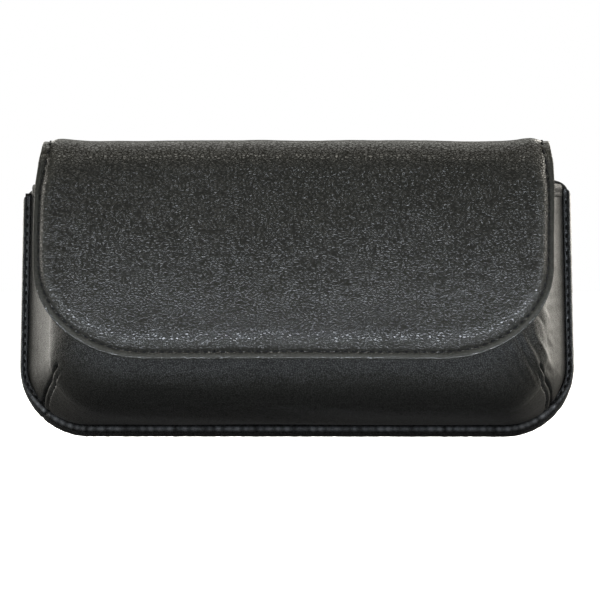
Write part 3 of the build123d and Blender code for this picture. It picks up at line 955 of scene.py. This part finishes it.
STATION_PHI = np.r_[np.full(SIDE_COUNT, -1.0), PHI, np.full(BOTTOM_COUNT, 91.0)]
STATION_PHI = np.r_[STATION_PHI, STATION_PHI[:-1][::-1]]
SIDE_SHARE = np.r_[np.zeros(SIDE_COUNT), PHI / 90, np.ones(BOTTOM_COUNT)]
ON_LEFT = np.arange(len(STATION_PHI)) < len(SIDE_SHARE)


def lean_at(depth):
    """How far the body leans to the right at a depth."""
    return SKEW * np.clip((depth - SEAM_DEPTH) / 28, 0, 1.2)


def whole(right, depth):
    """Both halves of a section at a depth, left end first, with the body's slight lean."""
    right3 = upright(right, depth)
    points = np.vstack([right3 * np.array([-1, 1, 1]), right3[:-1][::-1]])
    points[:, 0] += lean_at(points[:, 1])
    return points


def flange_ring(inset_side, inset_low, depth):
    """Section of the sewn flange; its inset grows from the sides to the bottom."""
    inset = inset_side + (inset_low - inset_side) * SIDE_SHARE
    base = outline_at(FOOT_HALF, 0, CORNER_R, SHOULDER_Z)
    normal_x = np.r_[np.ones(SIDE_COUNT), np.cos(np.radians(PHI)), np.zeros(BOTTOM_COUNT)]
    normal_z = np.r_[np.zeros(SIDE_COUNT), -np.sin(np.radians(PHI)), -np.ones(BOTTOM_COUNT)]
    ring = base - np.stack([normal_x, normal_z], 1) * inset[:, None]
    return whole(ring, depth)


def body_ring(theta, inset=0.0):
    depth, half, low, radius = body_section(theta, inset)
    top = MOUTH_Z + 0.9 * float(ramp(40, 8, theta))
    return whole(outline_at(half, low, radius, top), depth)


def front_ring(inset, deeper=0.0):
    """Section on the front face, set in from the body's rounded edge."""
    depth, half, low, radius = body_section(90, deeper)
    return whole(outline_at(half - inset, low + inset, radius - inset, MOUTH_Z), depth)


THETAS = np.r_[2, 3.5, 5, 6.5, 8, np.arange(9, 54, 0.9), np.arange(54, 90, 1.5), 90]
FRONT_INSETS = [0.8, 1.9, 3.4, 5.2, 7.5]


def body_grid(inset, thetas, front_insets, flange_depth, flange_insets):
    """Rings of the body from the raw edge of its flange to its front face."""
    rings = [flange_ring(a, b, flange_depth - c) for a, b, c in flange_insets]
    angles = [0.0] * len(rings) + list(thetas)
    rings += [body_ring(theta, inset) for theta in thetas]
    rings += [front_ring(step, inset) for step in front_insets]
    angles += [90.0] * len(front_insets)
    return np.array(rings), np.array(angles)


def grid_normals(grid):
    """Outward unit normals of a ring-and-station grid."""
    normal = np.cross(np.gradient(grid, axis=1), np.gradient(grid, axis=0))
    normal /= np.maximum(np.linalg.norm(normal, axis=2), 1e-9)[..., None]
    return normal * np.sign(normal[-1, :, 1].mean())


belly_wave = Ripples(31, 30, 1.6)
crinkle = Ripples(33, 4.5, 2.2)
fine_crinkle = Ripples(35, 1.9, 1.6)


def dart_angle(theta):
    """Corner angle of the dart's edge at a section angle, as a smooth line."""
    return sum(np.interp(theta + step, DART_THETA, DART_PHI) for step in (-2, -1, 0, 1, 2)) / 5


def dart_lift(grid, angles):
    """The dart at each lower corner: the front lies over the side with a gap under its edge."""
    theta = np.repeat(angles[:, None], grid.shape[1], 1)
    on_corner = (STATION_PHI >= 0) & (STATION_PHI <= 90)
    t = (STATION_PHI - dart_angle(theta)) * math.pi / 180 * BODY_R
    live = ramp(DART_END + 3, DART_END - 4, theta) * on_corner
    live = np.where(ON_LEFT, live, live * ramp(0.5, 2.5, theta))
    over = np.where(t > 0.1, 0.48 * np.exp(-np.clip(t, 0, None) / 2.6) * ramp(0, 0.45, t), 0)
    under = np.where(t <= 0.1, -0.35 * np.exp(np.clip(t, None, 0) / 1.8), 0)
    gap = -2.4 * bump(-0.42, 0.52, t)
    seam = -0.42 * bump(DART_STITCH_IN, 0.42, t)
    # The second value marks the front piece's edge along the dart for a painted highlight.
    return live * (over + under + gap + seam), live * bump(0.75, 0.55, t)


def body_relief(grid, angles):
    """How far each point of the body's leather stands off its plain shape."""
    x, d, z = np.moveaxis(grid, -1, 0)
    theta = np.repeat(angles[:, None], grid.shape[1], 1)
    # slack of the whole body
    relief = 0.28 * ramp(4, 16, d) * belly_wave(x + 0.6 * d, z + 0.8 * d)
    # small creases low on the front
    low_front = ramp(30, 55, theta) * ramp(26, 20, z) * ramp(64, 40, np.abs(x))
    relief += 0.05 * low_front * crinkle(x, 1.4 * z + d)
    # slanted folds at the right dart, and weaker creases at the left one
    corner_right = ramp(54, 60, x) * ramp(13, 20, z) * ramp(40, 33, z) * ramp(16, 26, d)
    folds = 0.92 * x + 0.40 * z + 0.35 * belly_wave(x * 3, z * 3)
    slanted = np.sin(1.75 * folds + 0.6 * np.sin(0.31 * z)) + 0.35 * np.sin(4.1 * folds)
    relief += 0.15 * corner_right * slanted
    corner_left = ramp(-50, -58, x) * ramp(14, 20, z) * ramp(38, 30, z) * ramp(20, 30, d)
    relief += 0.03 * corner_left * crinkle(x * 1.3, z * 1.8)
    # level creases on the right side, and a fine crinkle everywhere
    side_right = ramp(62, 66, x) * ramp(12, 20, z) * ramp(32, 22, d)
    relief += 0.035 * side_right * np.sin(1.9 * z + 0.9 * crinkle(x, d))
    relief += 0.02 * ramp(6, 10, d) * fine_crinkle(x + d, z)
    # hollow over the right dart
    pocket = bump(16, 6, z) * bump(57, 5, x) * ramp(8, 20, d)
    return relief - 0.25 * pocket


def make_body():
    flange = [
        (0.65, 0.65, 0.15), (1.3, 2.0, 0.1), (1.75, 3.2, 0.05), (2.1, 3.9, 0.2), (2.3, 4.4, 0.3),
    ]
    grid, angles = body_grid(0, THETAS, FRONT_INSETS, SEAM_DEPTH, flange)
    lift, painted_highlight = dart_lift(grid, angles)
    relief = body_relief(grid, angles) + lift
    relief[: len(flange) - 1] = 0
    outer = grid + grid_normals(grid) * relief[..., None]
    sheet = Sheet(grid[..., [0, 2]], 1.8)
    middle = sheet.middle
    front = body_section(90, 0)[0] + 0.28 * belly_wave(middle[:, 0] + 24, middle[:, 1] + 32)
    outer_all = np.vstack([outer.reshape(-1, 3), upright(middle, front)])
    inner_flange = [(a, b, 0.0) for a, b, _ in flange]
    inner, _ = body_grid(POUCH_WALL, THETAS, FRONT_INSETS, SEAM_DEPTH - LEATHER, inner_flange)
    inner_middle = upright(middle, body_section(90, POUCH_WALL)[0])
    points, faces = sheet.shell(outer_all, np.vstack([inner.reshape(-1, 3), inner_middle]))
    body = make(
        "pouch_body", points, faces, BODY_COVER, "pouch", "grained_leather",
        ("front_panel", "front_padding"),
    )
    # Painted highlights on the body: along the dart's overlapping edge and down the side creases.
    painted_crease_highlight = bump(CREASE_DEPTH, 4.0, grid[..., 1]) * ramp(60, 64, np.abs(grid[..., 0]))
    wear_and_highlight = np.r_[(0.15 * painted_highlight + 0.35 * painted_crease_highlight).reshape(-1), np.zeros(len(middle))]
    stain(body, "wear_and_highlight", np.r_[wear_and_highlight, wear_and_highlight * 0])
    return outer, angles


def make_pouch_lining():
    flange = [(0.9, 0.9, 0.0), (1.7, 2.2, 0.0), (2.3, 4.0, 0.0)]
    thetas = np.r_[3, 8, np.arange(14, 90, 4), 90]
    wall, depth = 1.95, SEAM_DEPTH - LEATHER - 0.03
    outer, _ = body_grid(wall, thetas, [2.5, 7.0], depth, flange)
    inner, _ = body_grid(wall + LINING, thetas, [2.5, 7.0], depth - LINING, flange)
    folds = 0.16 * slow_wave(inner[..., 0] + inner[..., 1], inner[..., 2])
    inner[3:, :, 1] -= np.clip(folds[3:], 0, None)
    sheet = Sheet(outer[..., [0, 2]], 3.0)
    sides = []
    for grid, inset, waves in ((outer, wall, 0), (inner, wall + LINING, 0.12)):
        slack = waves * np.abs(slow_wave(*sheet.middle.T))
        front = upright(sheet.middle, body_section(90, inset)[0] - slack)
        sides.append(np.vstack([grid.reshape(-1, 3), front]))
    points, faces = sheet.shell(*sides)
    cloth = make(
        "pouch_lining_cloth", points, faces, NAP, "pouch", "lining_cloth", ("front_lining",)
    )


class BodySurface:
    """Looks up points and normals on the body's leather by section angle and corner angle."""

    def __init__(self, outer, angles):
        first = int(np.argmax(angles > 0))
        self.grid = outer[first:]
        self.angles = angles[first:]
        self.normals = grid_normals(self.grid)

    def corner(self, theta, phi, side):
        ring = np.interp(theta, self.angles[: len(THETAS)], np.arange(len(THETAS)))
        station = np.interp(phi, PHI, SIDE_COUNT + np.arange(len(PHI)))
        if side > 0:
            station = self.grid.shape[1] - 1 - station
        return self.at(ring, station)

    def at(self, ring, station):
        r0 = np.clip(np.floor(ring).astype(int), 0, len(self.grid) - 2)
        s0 = np.clip(np.floor(station).astype(int), 0, self.grid.shape[1] - 2)
        fr, fs = (ring - r0)[:, None], (station - s0)[:, None]
        found = []
        for field in (self.grid, self.normals):
            low = field[r0, s0] * (1 - fs) + field[r0, s0 + 1] * fs
            high = field[r0 + 1, s0] * (1 - fs) + field[r0 + 1, s0 + 1] * fs
            found.append(low * (1 - fr) + high * fr)
        return found[0], unit(found[1])


def make_dart_threads(surface):
    for name, side, start in (("left", -1, 5.0), ("right", 1, 7.0)):

        def spot(theta):
            phi = dart_angle(theta) + DART_STITCH_IN / BODY_R * 180 / math.pi
            return surface.corner(theta, phi, side)

        theta = np.linspace(start, DART_END - 3, 400)
        along = distances(spot(theta)[0])
        count = int(along[-1] // PITCH)
        at = (np.arange(count) + 0.5) / count * along[-1]
        behind, here, ahead = [spot(np.interp(at + d, along, theta)) for d in (-0.25, 0, 0.25)]
        centres, normals = here
        tangents = unit(ahead[0] - behind[0])
        stitches = stitch_mesh(
            centres + normals * 0.02, tangents, normals, SHORT_STITCH, 0.25, 41 + side
        )
        sew(f"dart_stitching_{name}", stitches, f"dart_thread_{name}")


# ---- mouth binding

def make_mouth_binding():
    thetas = np.r_[np.arange(3, 90, 3), 90]
    rim = np.array([body_ring(theta)[0] for theta in thetas])
    rim = np.vstack([rim, [front_ring(step)[0] for step in (4, 12, 24, 38, 52)]])
    mirror = rim[::-1] * np.array([-1, 1, 1])
    mirror[:, 0] += 2 * lean_at(mirror[:, 1])
    path = np.vstack([rim, mirror])
    path = path[np.r_[True, np.linalg.norm(np.diff(path, axis=0), axis=1) > 1e-6]]
    path, along = spaced(path, 0.55)
    path = smoothed(path, 6)
    tangent = unit(np.gradient(path, axis=0))
    outward = np.cross(tangent, np.array([0, 0, 1.0]))
    outward *= np.sign(outward[len(outward) // 2, 1])
    count = int(along[-1] // PITCH)
    step = along[-1] / count
    profile = np.array(
        [
            (0.02, -3.0), (0.32, -3.02), (0.52, -2.85), (0.60, -2.4), (0.55, -1.9), (0.42, -1.55),
            (0.55, -1.2), (0.66, -0.7), (0.62, -0.1), (0.45, 0.35), (0.1, 0.55), (-0.6, 0.66),
            (-1.3, 0.70), (-2.0, 0.66), (-2.6, 0.5), (-2.95, 0.1), (-3.05, -0.8), (-3.0, -2.0),
            (-2.95, -2.8), (-2.8, -3.0), (-2.55, -3.0), (-2.52, -1.0), (-2.5, 0.02), (0.0, 0.02),
            (0.01, -1.5),
        ]
    )
    profiles = np.repeat(profile[None], len(path), 0)
    profiles[:, 4:7, 0] -= 0.16 * pull_of(along, step)[:, None] * np.array([0.4, 1.0, 0.4])
    profiles[:, 9:16, 1] += 0.05 * mid_wave(path[:, 0], path[:, 1])[:, None]
    points, faces = sweep(path, outward, np.tile([0, 0, 1.0], (len(path), 1)), profiles)
    binding = make(
        "mouth_binding_strip", points, faces, MOUTH_TRIM, "pouch", "binding_leather",
        ("mouth_binding",),
    )
    stain(binding, "wear_and_highlight", np.tile(bump(0.1, 0.5, profile[:, 1]), len(path)) * 0.4)

    s = (np.arange(count) + 0.5) * step
    normals = unit(read(s, along, outward))
    centres = read(s, along, path) + normals * 0.36 + np.array([0, 0, -1.55])
    stitches = stitch_mesh(
        centres, read(s, along, tangent), normals, SHORT_STITCH, 0.24, 51, 0.04
    )
    sew("mouth_stitching", stitches, "mouth_thread")


# ---- sewn edge

def seam_stations():
    """Outer edge of the seam: points, inward normals, distances, and how much of a foot each is."""
    turn = arc((FOOT_HALF - CORNER_R, CORNER_R), (CORNER_R, CORNER_R), 270, 360, 60)
    whole_line = mirrored([(0, 0), *turn, (SHOULDER_HALF, SHOULDER_Z)])
    whole_line[[0, -1], 1] += BINDING_PAST
    line, along = spaced(whole_line, 0.38)
    return line, inward_of(line), along, ramp(CORNER_R * 0.9, 2.5, line[:, 1])


BINDING_JOINT = (-70.9, 5.4)
edge_wave = Ripples(61, 14)
edge_small = Ripples(63, 3.0)


def stitch_inset(foot):
    """The row of stitches lies further in along the foot than up the sides."""
    return 1.4 + 2.1 * foot


def binding_profile(foot, pull, lump, fine, tuck):
    """Section of the binding at one station, as (inset, depth), outside then inside."""
    stitch = stitch_inset(foot)
    leg = 2.1 + 2.1 * foot
    crest = 0.7 + 1.6 * foot
    face = SEAM_DEPTH + 0.66 + 0.06 * lump
    low = -0.62 - 0.05 * lump
    front = [
        (leg, SEAM_DEPTH + 0.02), (leg - 0.02, SEAM_DEPTH + 0.30), (leg - 0.16, SEAM_DEPTH + 0.46),
        (leg - 0.28, face - 0.12 - 0.10 * pull),
        (stitch + 0.26, face - 0.11 - 0.18 * pull),
        (stitch, face - 0.15 - 0.30 * pull),
        (stitch - 0.26, face - 0.08 - 0.18 * pull),
        (stitch - 0.26 - 0.35 * (stitch - 0.56 - crest), face - 0.04 * pull),
        (crest + 0.30, face + 0.09 + 0.04 * pull), (crest, face + 0.12 + 0.07 * pull),
        (crest - 0.30, face + 0.09 + 0.04 * pull),
        (0.62 * crest, face - 0.02 - 0.10 * foot), (0.34 * crest, face - 0.34 - 0.22 * foot),
        (0.12 * crest, face - 0.86 - 0.25 * foot),
    ]
    side = [(0.0 + 0.04 * fine, 2.7), (-0.02 + 0.05 * fine, 1.9), (0.0 + 0.04 * fine, 0.9)]
    back = [
        (0.12, low + 0.86), (0.36, low + 0.40), (0.72, low + 0.12), (1.05, low),
        (stitch - 0.62, low - 0.03), (stitch - 0.32, low + 0.08 + 0.12 * pull),
        (stitch, low + 0.18 + 0.2 * pull), (stitch + 0.32, low + 0.12 + 0.12 * pull),
        (leg - 0.34, low + 0.05), (leg - 0.16, low + 0.14), (leg - 0.02, low + 0.30), (leg, -0.02),
    ]
    inner = [(1.6, -0.01), (0.62, 0.0), (0.60, 1.9), (0.62, SEAM_DEPTH), (1.6, SEAM_DEPTH + 0.01)]
    return [(max(inset, tuck), depth) for inset, depth in front + side + back + inner]


def make_edge_binding():
    line, inward, along, foot = seam_stations()
    start = 2.6
    count = int((along[-1] - 2 * start) // PITCH)
    step = (along[-1] - 2 * start) / count
    pull = pull_of(along, step, start)
    lump = edge_wave(line[:, 0], line[:, 1])
    fine = edge_small(line[:, 0], line[:, 1])
    end = np.clip(BINDING_END_R - np.minimum(along, along[-1] - along), 0, None)
    tuck = BINDING_END_R - np.sqrt(BINDING_END_R ** 2 - end ** 2)
    tuck[end == 0] = -1
    profiles = np.array([binding_profile(*row) for row in zip(foot, pull, lump, fine, tuck)])
    joint = np.linalg.norm(line - np.array(BINDING_JOINT), axis=1).argmin()
    gap = bump(along[joint], 0.42, along)[:, None]
    profiles[:, :14, 1] -= 0.42 * gap
    profiles[:, 12:19, 0] += 0.30 * gap
    forward = np.tile([0, 1.0, 0], (len(line), 1))
    points, faces = sweep(upright(line), upright(inward), forward, profiles)
    binding = make(
        "edge_binding_strip", points, faces, TRIM, "pouch", "binding_leather", ("edge_binding",)
    )
    # The stored map across the binding: a little real rubbing along its edges, a painted highlight
    # along its crest, strongest along the foot, and painted light about the stitch row up the
    # sides.
    across = np.zeros(profiles.shape[:2])
    across[:, [1, 2]] = (0.15, 0.1)
    across[:, 12:19] = 0.07
    painted_highlight = (0.07 + 0.85 * foot) * (0.55 + 0.45 * pull) * (0.75 + 0.35 * fine)
    across[:, 7:12] = np.clip(painted_highlight, 0, 1)[:, None] * np.array([0.15, 0.8, 1.0, 0.8, 0.05])
    across[:, 3:7] = 0.10 * (1 - foot[:, None])
    stain(binding, "wear_and_highlight", across.reshape(-1))

    s = start + (np.arange(count) + 0.5) * step
    into = read(s, along, inward)
    spot = read(s, along, line) + into * stitch_inset(np.interp(s, along, foot))[:, None]
    places = [upright(spot, SEAM_DEPTH + 0.28), upright(spot, -0.36)]
    heads = upright(np.stack([into[:, 1], -into[:, 0]], 1))
    normals = np.repeat([[0, 1.0, 0], [0, -1.0, 0]], count, 0)
    stitches = stitch_mesh(
        np.vstack(places), np.vstack([heads, heads]), normals, STITCH_LENGTH, THREAD_R, 71, 0.05
    )
    sew("edge_stitching", stitches, "edge_thread")


# ---- belt loop

LOOP_LOW = corner("belt_loop", 0)[2]
LOOP_HIGH = corner("belt_loop", 1)[2]
LOOP_HALF = corner("belt_loop", 1)[0]
LOOP_OUT = BACK_Y - corner("belt_loop", 1)[1]
LOOP_SKIN, LOOP_UNDER = 1.2, 0.8
LOOP_FOOT = 6.5
LOOP_STITCH_IN = 1.8


def loop_path():
    """Line of the strap's outer face, (depth, z) from bottom to top, and its distances."""
    flat_depth = -(LOOP_SKIN + LOOP_UNDER)
    low, high, rise = LOOP_LOW + LOOP_FOOT, LOOP_HIGH - LOOP_FOOT, 5.0
    corners = [
        (flat_depth, LOOP_LOW), (flat_depth, low), (LOOP_OUT, low + rise),
        (LOOP_OUT, high - rise), (flat_depth, high), (flat_depth, LOOP_HIGH),
    ]
    line, along = spaced(corners, 0.6)
    smooth = smoothed(line, 12)
    smooth[:, 0] -= 0.35 * bump((LOOP_LOW + LOOP_HIGH) / 2, 16, smooth[:, 1])
    return smooth, along


def strap(line, along, width, under, over, name, material, slot_name, cad, round_by):
    """Strap along a path, with rounded ends and edges, its faces at under and over."""
    outward = inward_of(line)
    end = np.minimum(along, along[-1] - along)
    square = round_by ** 2 - np.clip(round_by - end, 0, None) ** 2
    tuck = round_by - np.sqrt(np.clip(square, 0, None))
    half = width - tuck
    inset = np.array([0, 0.08, 0.25, 0.5, 0.9, 1.3, 1.6, 1.8, 2.0, 2.3, 2.8, 3.6, 5, 8, 13])
    inset = inset[inset < width - 1]
    pull = pull_of(along, along[-1] / int(along[-1] // PITCH))
    thick = over - under
    profiles = []
    for i in range(len(line)):
        scale = half[i] / width
        x = (width - inset) * scale
        nose = np.clip(1 - inset / 0.5, 0, 1) ** 2
        end_nose = max(0.0, 1 - end[i] / 0.6) ** 2
        top = over - 0.34 * thick * np.maximum(nose, end_nose)
        sunk = 0.18 * (0.7 + 0.4 * pull[i]) * bump(LOOP_STITCH_IN, 0.4, inset)
        top = top - sunk * (thick > 0.9)
        top = top + 0.06 * slow_wave(x, 0 * x + line[i, 1]) * ramp(2, 6, inset)
        low = under + 0.2 * thick * nose
        right = list(zip(x, top))
        left = list(zip(-x[::-1], top[::-1]))
        below = list(zip(-x, low)) + list(zip(x[::-1], low[::-1]))
        profiles.append(right + left + below)
    origins, out = [np.insert(pairs, 0, 0, axis=1) for pairs in (line, outward)]
    points, faces = sweep(origins, np.tile([1.0, 0, 0], (len(line), 1)), out, np.array(profiles))
    obj = make(name, points, faces, material, "pouch", slot_name, cad)
    wear_and_highlight = np.r_[bump(0.1, 0.4, inset), bump(0.1, 0.4, inset)[::-1]]
    stain(obj, "wear_and_highlight", np.tile(np.r_[wear_and_highlight, wear_and_highlight * 0.5], len(line)) * 0.8)
    return obj


def box_stitches(box, depth):
    """Centres and tangents of the stitches along a line of straight legs at one depth."""
    centres, tangents = [], []
    for (x0, z0), (x1, z1) in zip(box, box[1:]):
        length = math.hypot(x1 - x0, z1 - z0)
        count = max(1, int(length // PITCH))
        for k in range(count):
            share = (k + 0.5) / count
            centres.append((x0 + (x1 - x0) * share, depth, z0 + (z1 - z0) * share))
            tangents.append(((x1 - x0) / length, 0, (z1 - z0) / length))
    return np.array(centres), np.array(tangents)


def make_belt_loop():
    line, along = loop_path()
    back = -LOOP_SKIN - LOOP_UNDER
    strap(line, along, LOOP_HALF, -LOOP_SKIN, 0.0, "belt_loop_strap", LOOP_COVER,
          "grained_leather", ("belt_loop",), 4.5)
    under = LOOP_HALF - 0.5
    cloth = strap(line, along, under, back, -LOOP_SKIN - 0.03,
                  "belt_loop_back", NAP, "lining_cloth", ("belt_loop_lining",), 4.2)
    width = LOOP_HALF - LOOP_STITCH_IN
    for name, sign, end_z in (("lower", 1.0, LOOP_LOW), ("upper", -1.0, LOOP_HIGH)):
        near, far = end_z + sign * LOOP_STITCH_IN, end_z + sign * (LOOP_FOOT - 0.9)
        box = [(-width, far), (-width, near), (width, near), (width, far), (-width, far)]
        centres, tangents = box_stitches(box, back - 0.05)
        normals = np.tile([0, -1.0, 0], (len(centres), 1))
        stitches = stitch_mesh(centres, tangents, normals, SHORT_STITCH, 0.26, 81, 0.04)
        sew(f"belt_loop_stitching_{name}", stitches, f"belt_loop_thread_{name}")


# ---- parts kept from the frame

def dress(node, material):
    """Gives a CAD part that stays in the model its own finish."""
    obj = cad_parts[node]
    obj.data.materials.clear()
    obj.data.materials.append(material)


# ---- stage, light and camera

def make_stage():
    """White paper under the case, bright enough to meet the white all round it."""
    paint = Paint("stage_paper")
    paint.set(
        Base_Color=(0.9, 0.9, 0.9), Roughness=0.9, Emission_Color=(1.0, 1.0, 1.0),
        Emission_Strength=0.98,
    )
    size, drop = 6.0, -0.0006
    mesh = bpy.data.meshes.new("stage_floor")
    square = [(-size, -size, drop), (size, -size, drop), (size, size, drop), (-size, size, drop)]
    mesh.from_pydata(square, [], [(0, 1, 2, 3)])
    mesh.materials.append(paint.material)
    floor = bpy.data.objects.new("stage_floor", mesh)
    bpy.context.scene.collection.objects.link(floor)
    floor.visible_glossy = False
    floor.visible_diffuse = False


def look(obj, target):
    """Turns a light or camera to a point and adds it to the scene."""
    obj.rotation_euler = (target - obj.location).to_track_quat("-Z", "Y").to_euler()
    bpy.context.scene.collection.objects.link(obj)


def area_light(name, at, target, size, power, colour):
    data = bpy.data.lights.new(name, "AREA")
    data.shape = "RECTANGLE"
    data.size, data.size_y = size
    data.energy = power
    data.color = colour
    light = bpy.data.objects.new(name, data)
    light.location = at
    light.visible_camera = False
    look(light, Vector(target))


FILL_COLOUR = (1, 0.98, 0.93, 1)


def make_world():
    """White paper all round for the eye, and a dimmer even light for the object."""
    world = bpy.data.worlds.new("studio_white")
    bpy.context.scene.world = world
    world.use_nodes = True
    tree = world.node_tree
    seen, fill_light = tree.nodes["Background"], tree.nodes.new("ShaderNodeBackground")
    for node, colour, strength in ((seen, (1, 1, 1, 1), 1.0), (fill_light, FILL_COLOUR, 0.10)):
        node.inputs["Color"].default_value = colour
        node.inputs["Strength"].default_value = strength
    rays = tree.nodes.new("ShaderNodeLightPath")
    choose = tree.nodes.new("ShaderNodeMixShader")
    tree.links.new(rays.outputs["Is Camera Ray"], choose.inputs["Fac"])
    tree.links.new(fill_light.outputs[0], choose.inputs[1])
    tree.links.new(seen.outputs[0], choose.inputs[2])
    tree.links.new(choose.outputs[0], tree.nodes["World Output"].inputs["Surface"])


CENTRE = (0, 0, 0.04)
LIGHTS = [
    ("back_left", (-0.50, 0.46, 0.18), CENTRE, (0.8, 0.45), 5.0, (1, 0.97, 0.90)),
    ("back_right", (0.52, 0.44, 0.26), CENTRE, (0.8, 0.45), 9.2, (1, 0.95, 0.86)),
    ("back_top", (0, 0.55, 0.65), CENTRE, (1.0, 0.4), 2.0, (1, 1, 0.95)),
    ("top", (0, 0.05, 0.80), CENTRE, (0.9, 0.4), 3.0, (1, 1, 0.95)),
    ("side_left", (-0.80, -0.05, 0.25), CENTRE, (0.4, 0.5), 3.2, (1, 0.96, 0.88)),
    ("side_right", (0.75, -0.05, 0.42), CENTRE, (0.4, 0.5), 5.5, (1, 0.95, 0.86)),
    ("key_top", (-0.12, -0.50, 0.64), CENTRE, (0.60, 0.12), 1.7, (1, 0.97, 0.86)),
    ("front_box", (-0.42, -1.34, 0.13), CENTRE, (1.4, 0.24), 0.2, (1, 0.97, 0.89)),
    ("ridge_glint", (0.0, -0.85, 0.40), CENTRE, (1.3, 0.05), 0.4, (0.96, 0.98, 1)),
    (
        "paper_glow", (0.03, -0.078, 0.002), (0.03, -0.068, 0.3), (0.34, 0.009), 0.53,
        (0.84, 0.91, 1),
    ),
]


CAMERA_AZIMUTH, CAMERA_RISE = math.radians(1.3), math.radians(0.5)
CAMERA_DISTANCE = 1.1
CAMERA_LENS = 235.7
CAMERA_AIM = Vector((0.0009, BACK_Y * MM, 0.0382))


def make_camera():
    """Camera at the photograph's angle, straight on and a touch above."""
    data = bpy.data.cameras.new("studio_camera")
    data.lens = CAMERA_LENS
    data.sensor_width = 36
    camera = bpy.data.objects.new("studio_camera", data)
    away = (math.sin(CAMERA_AZIMUTH), -math.cos(CAMERA_AZIMUTH), math.tan(CAMERA_RISE))
    camera.location = CAMERA_AIM + Vector(away) * CAMERA_DISTANCE
    look(camera, CAMERA_AIM)
    bpy.context.scene.camera = camera


# ---- build

make_flap()
make_back()
body_grid_points, section_angles = make_body()
make_pouch_lining()
make_dart_threads(BodySurface(body_grid_points, section_angles))
make_mouth_binding()
make_edge_binding()
make_belt_loop()
dress("back_board", BOARD_FACE)
dress("pouch_magnet", NICKEL)
dress("flap_magnet", NICKEL)

make_stage()
make_world()
for light in LIGHTS:
    area_light(*light)
make_camera()
bpy.context.scene.view_settings.view_transform = "Standard"
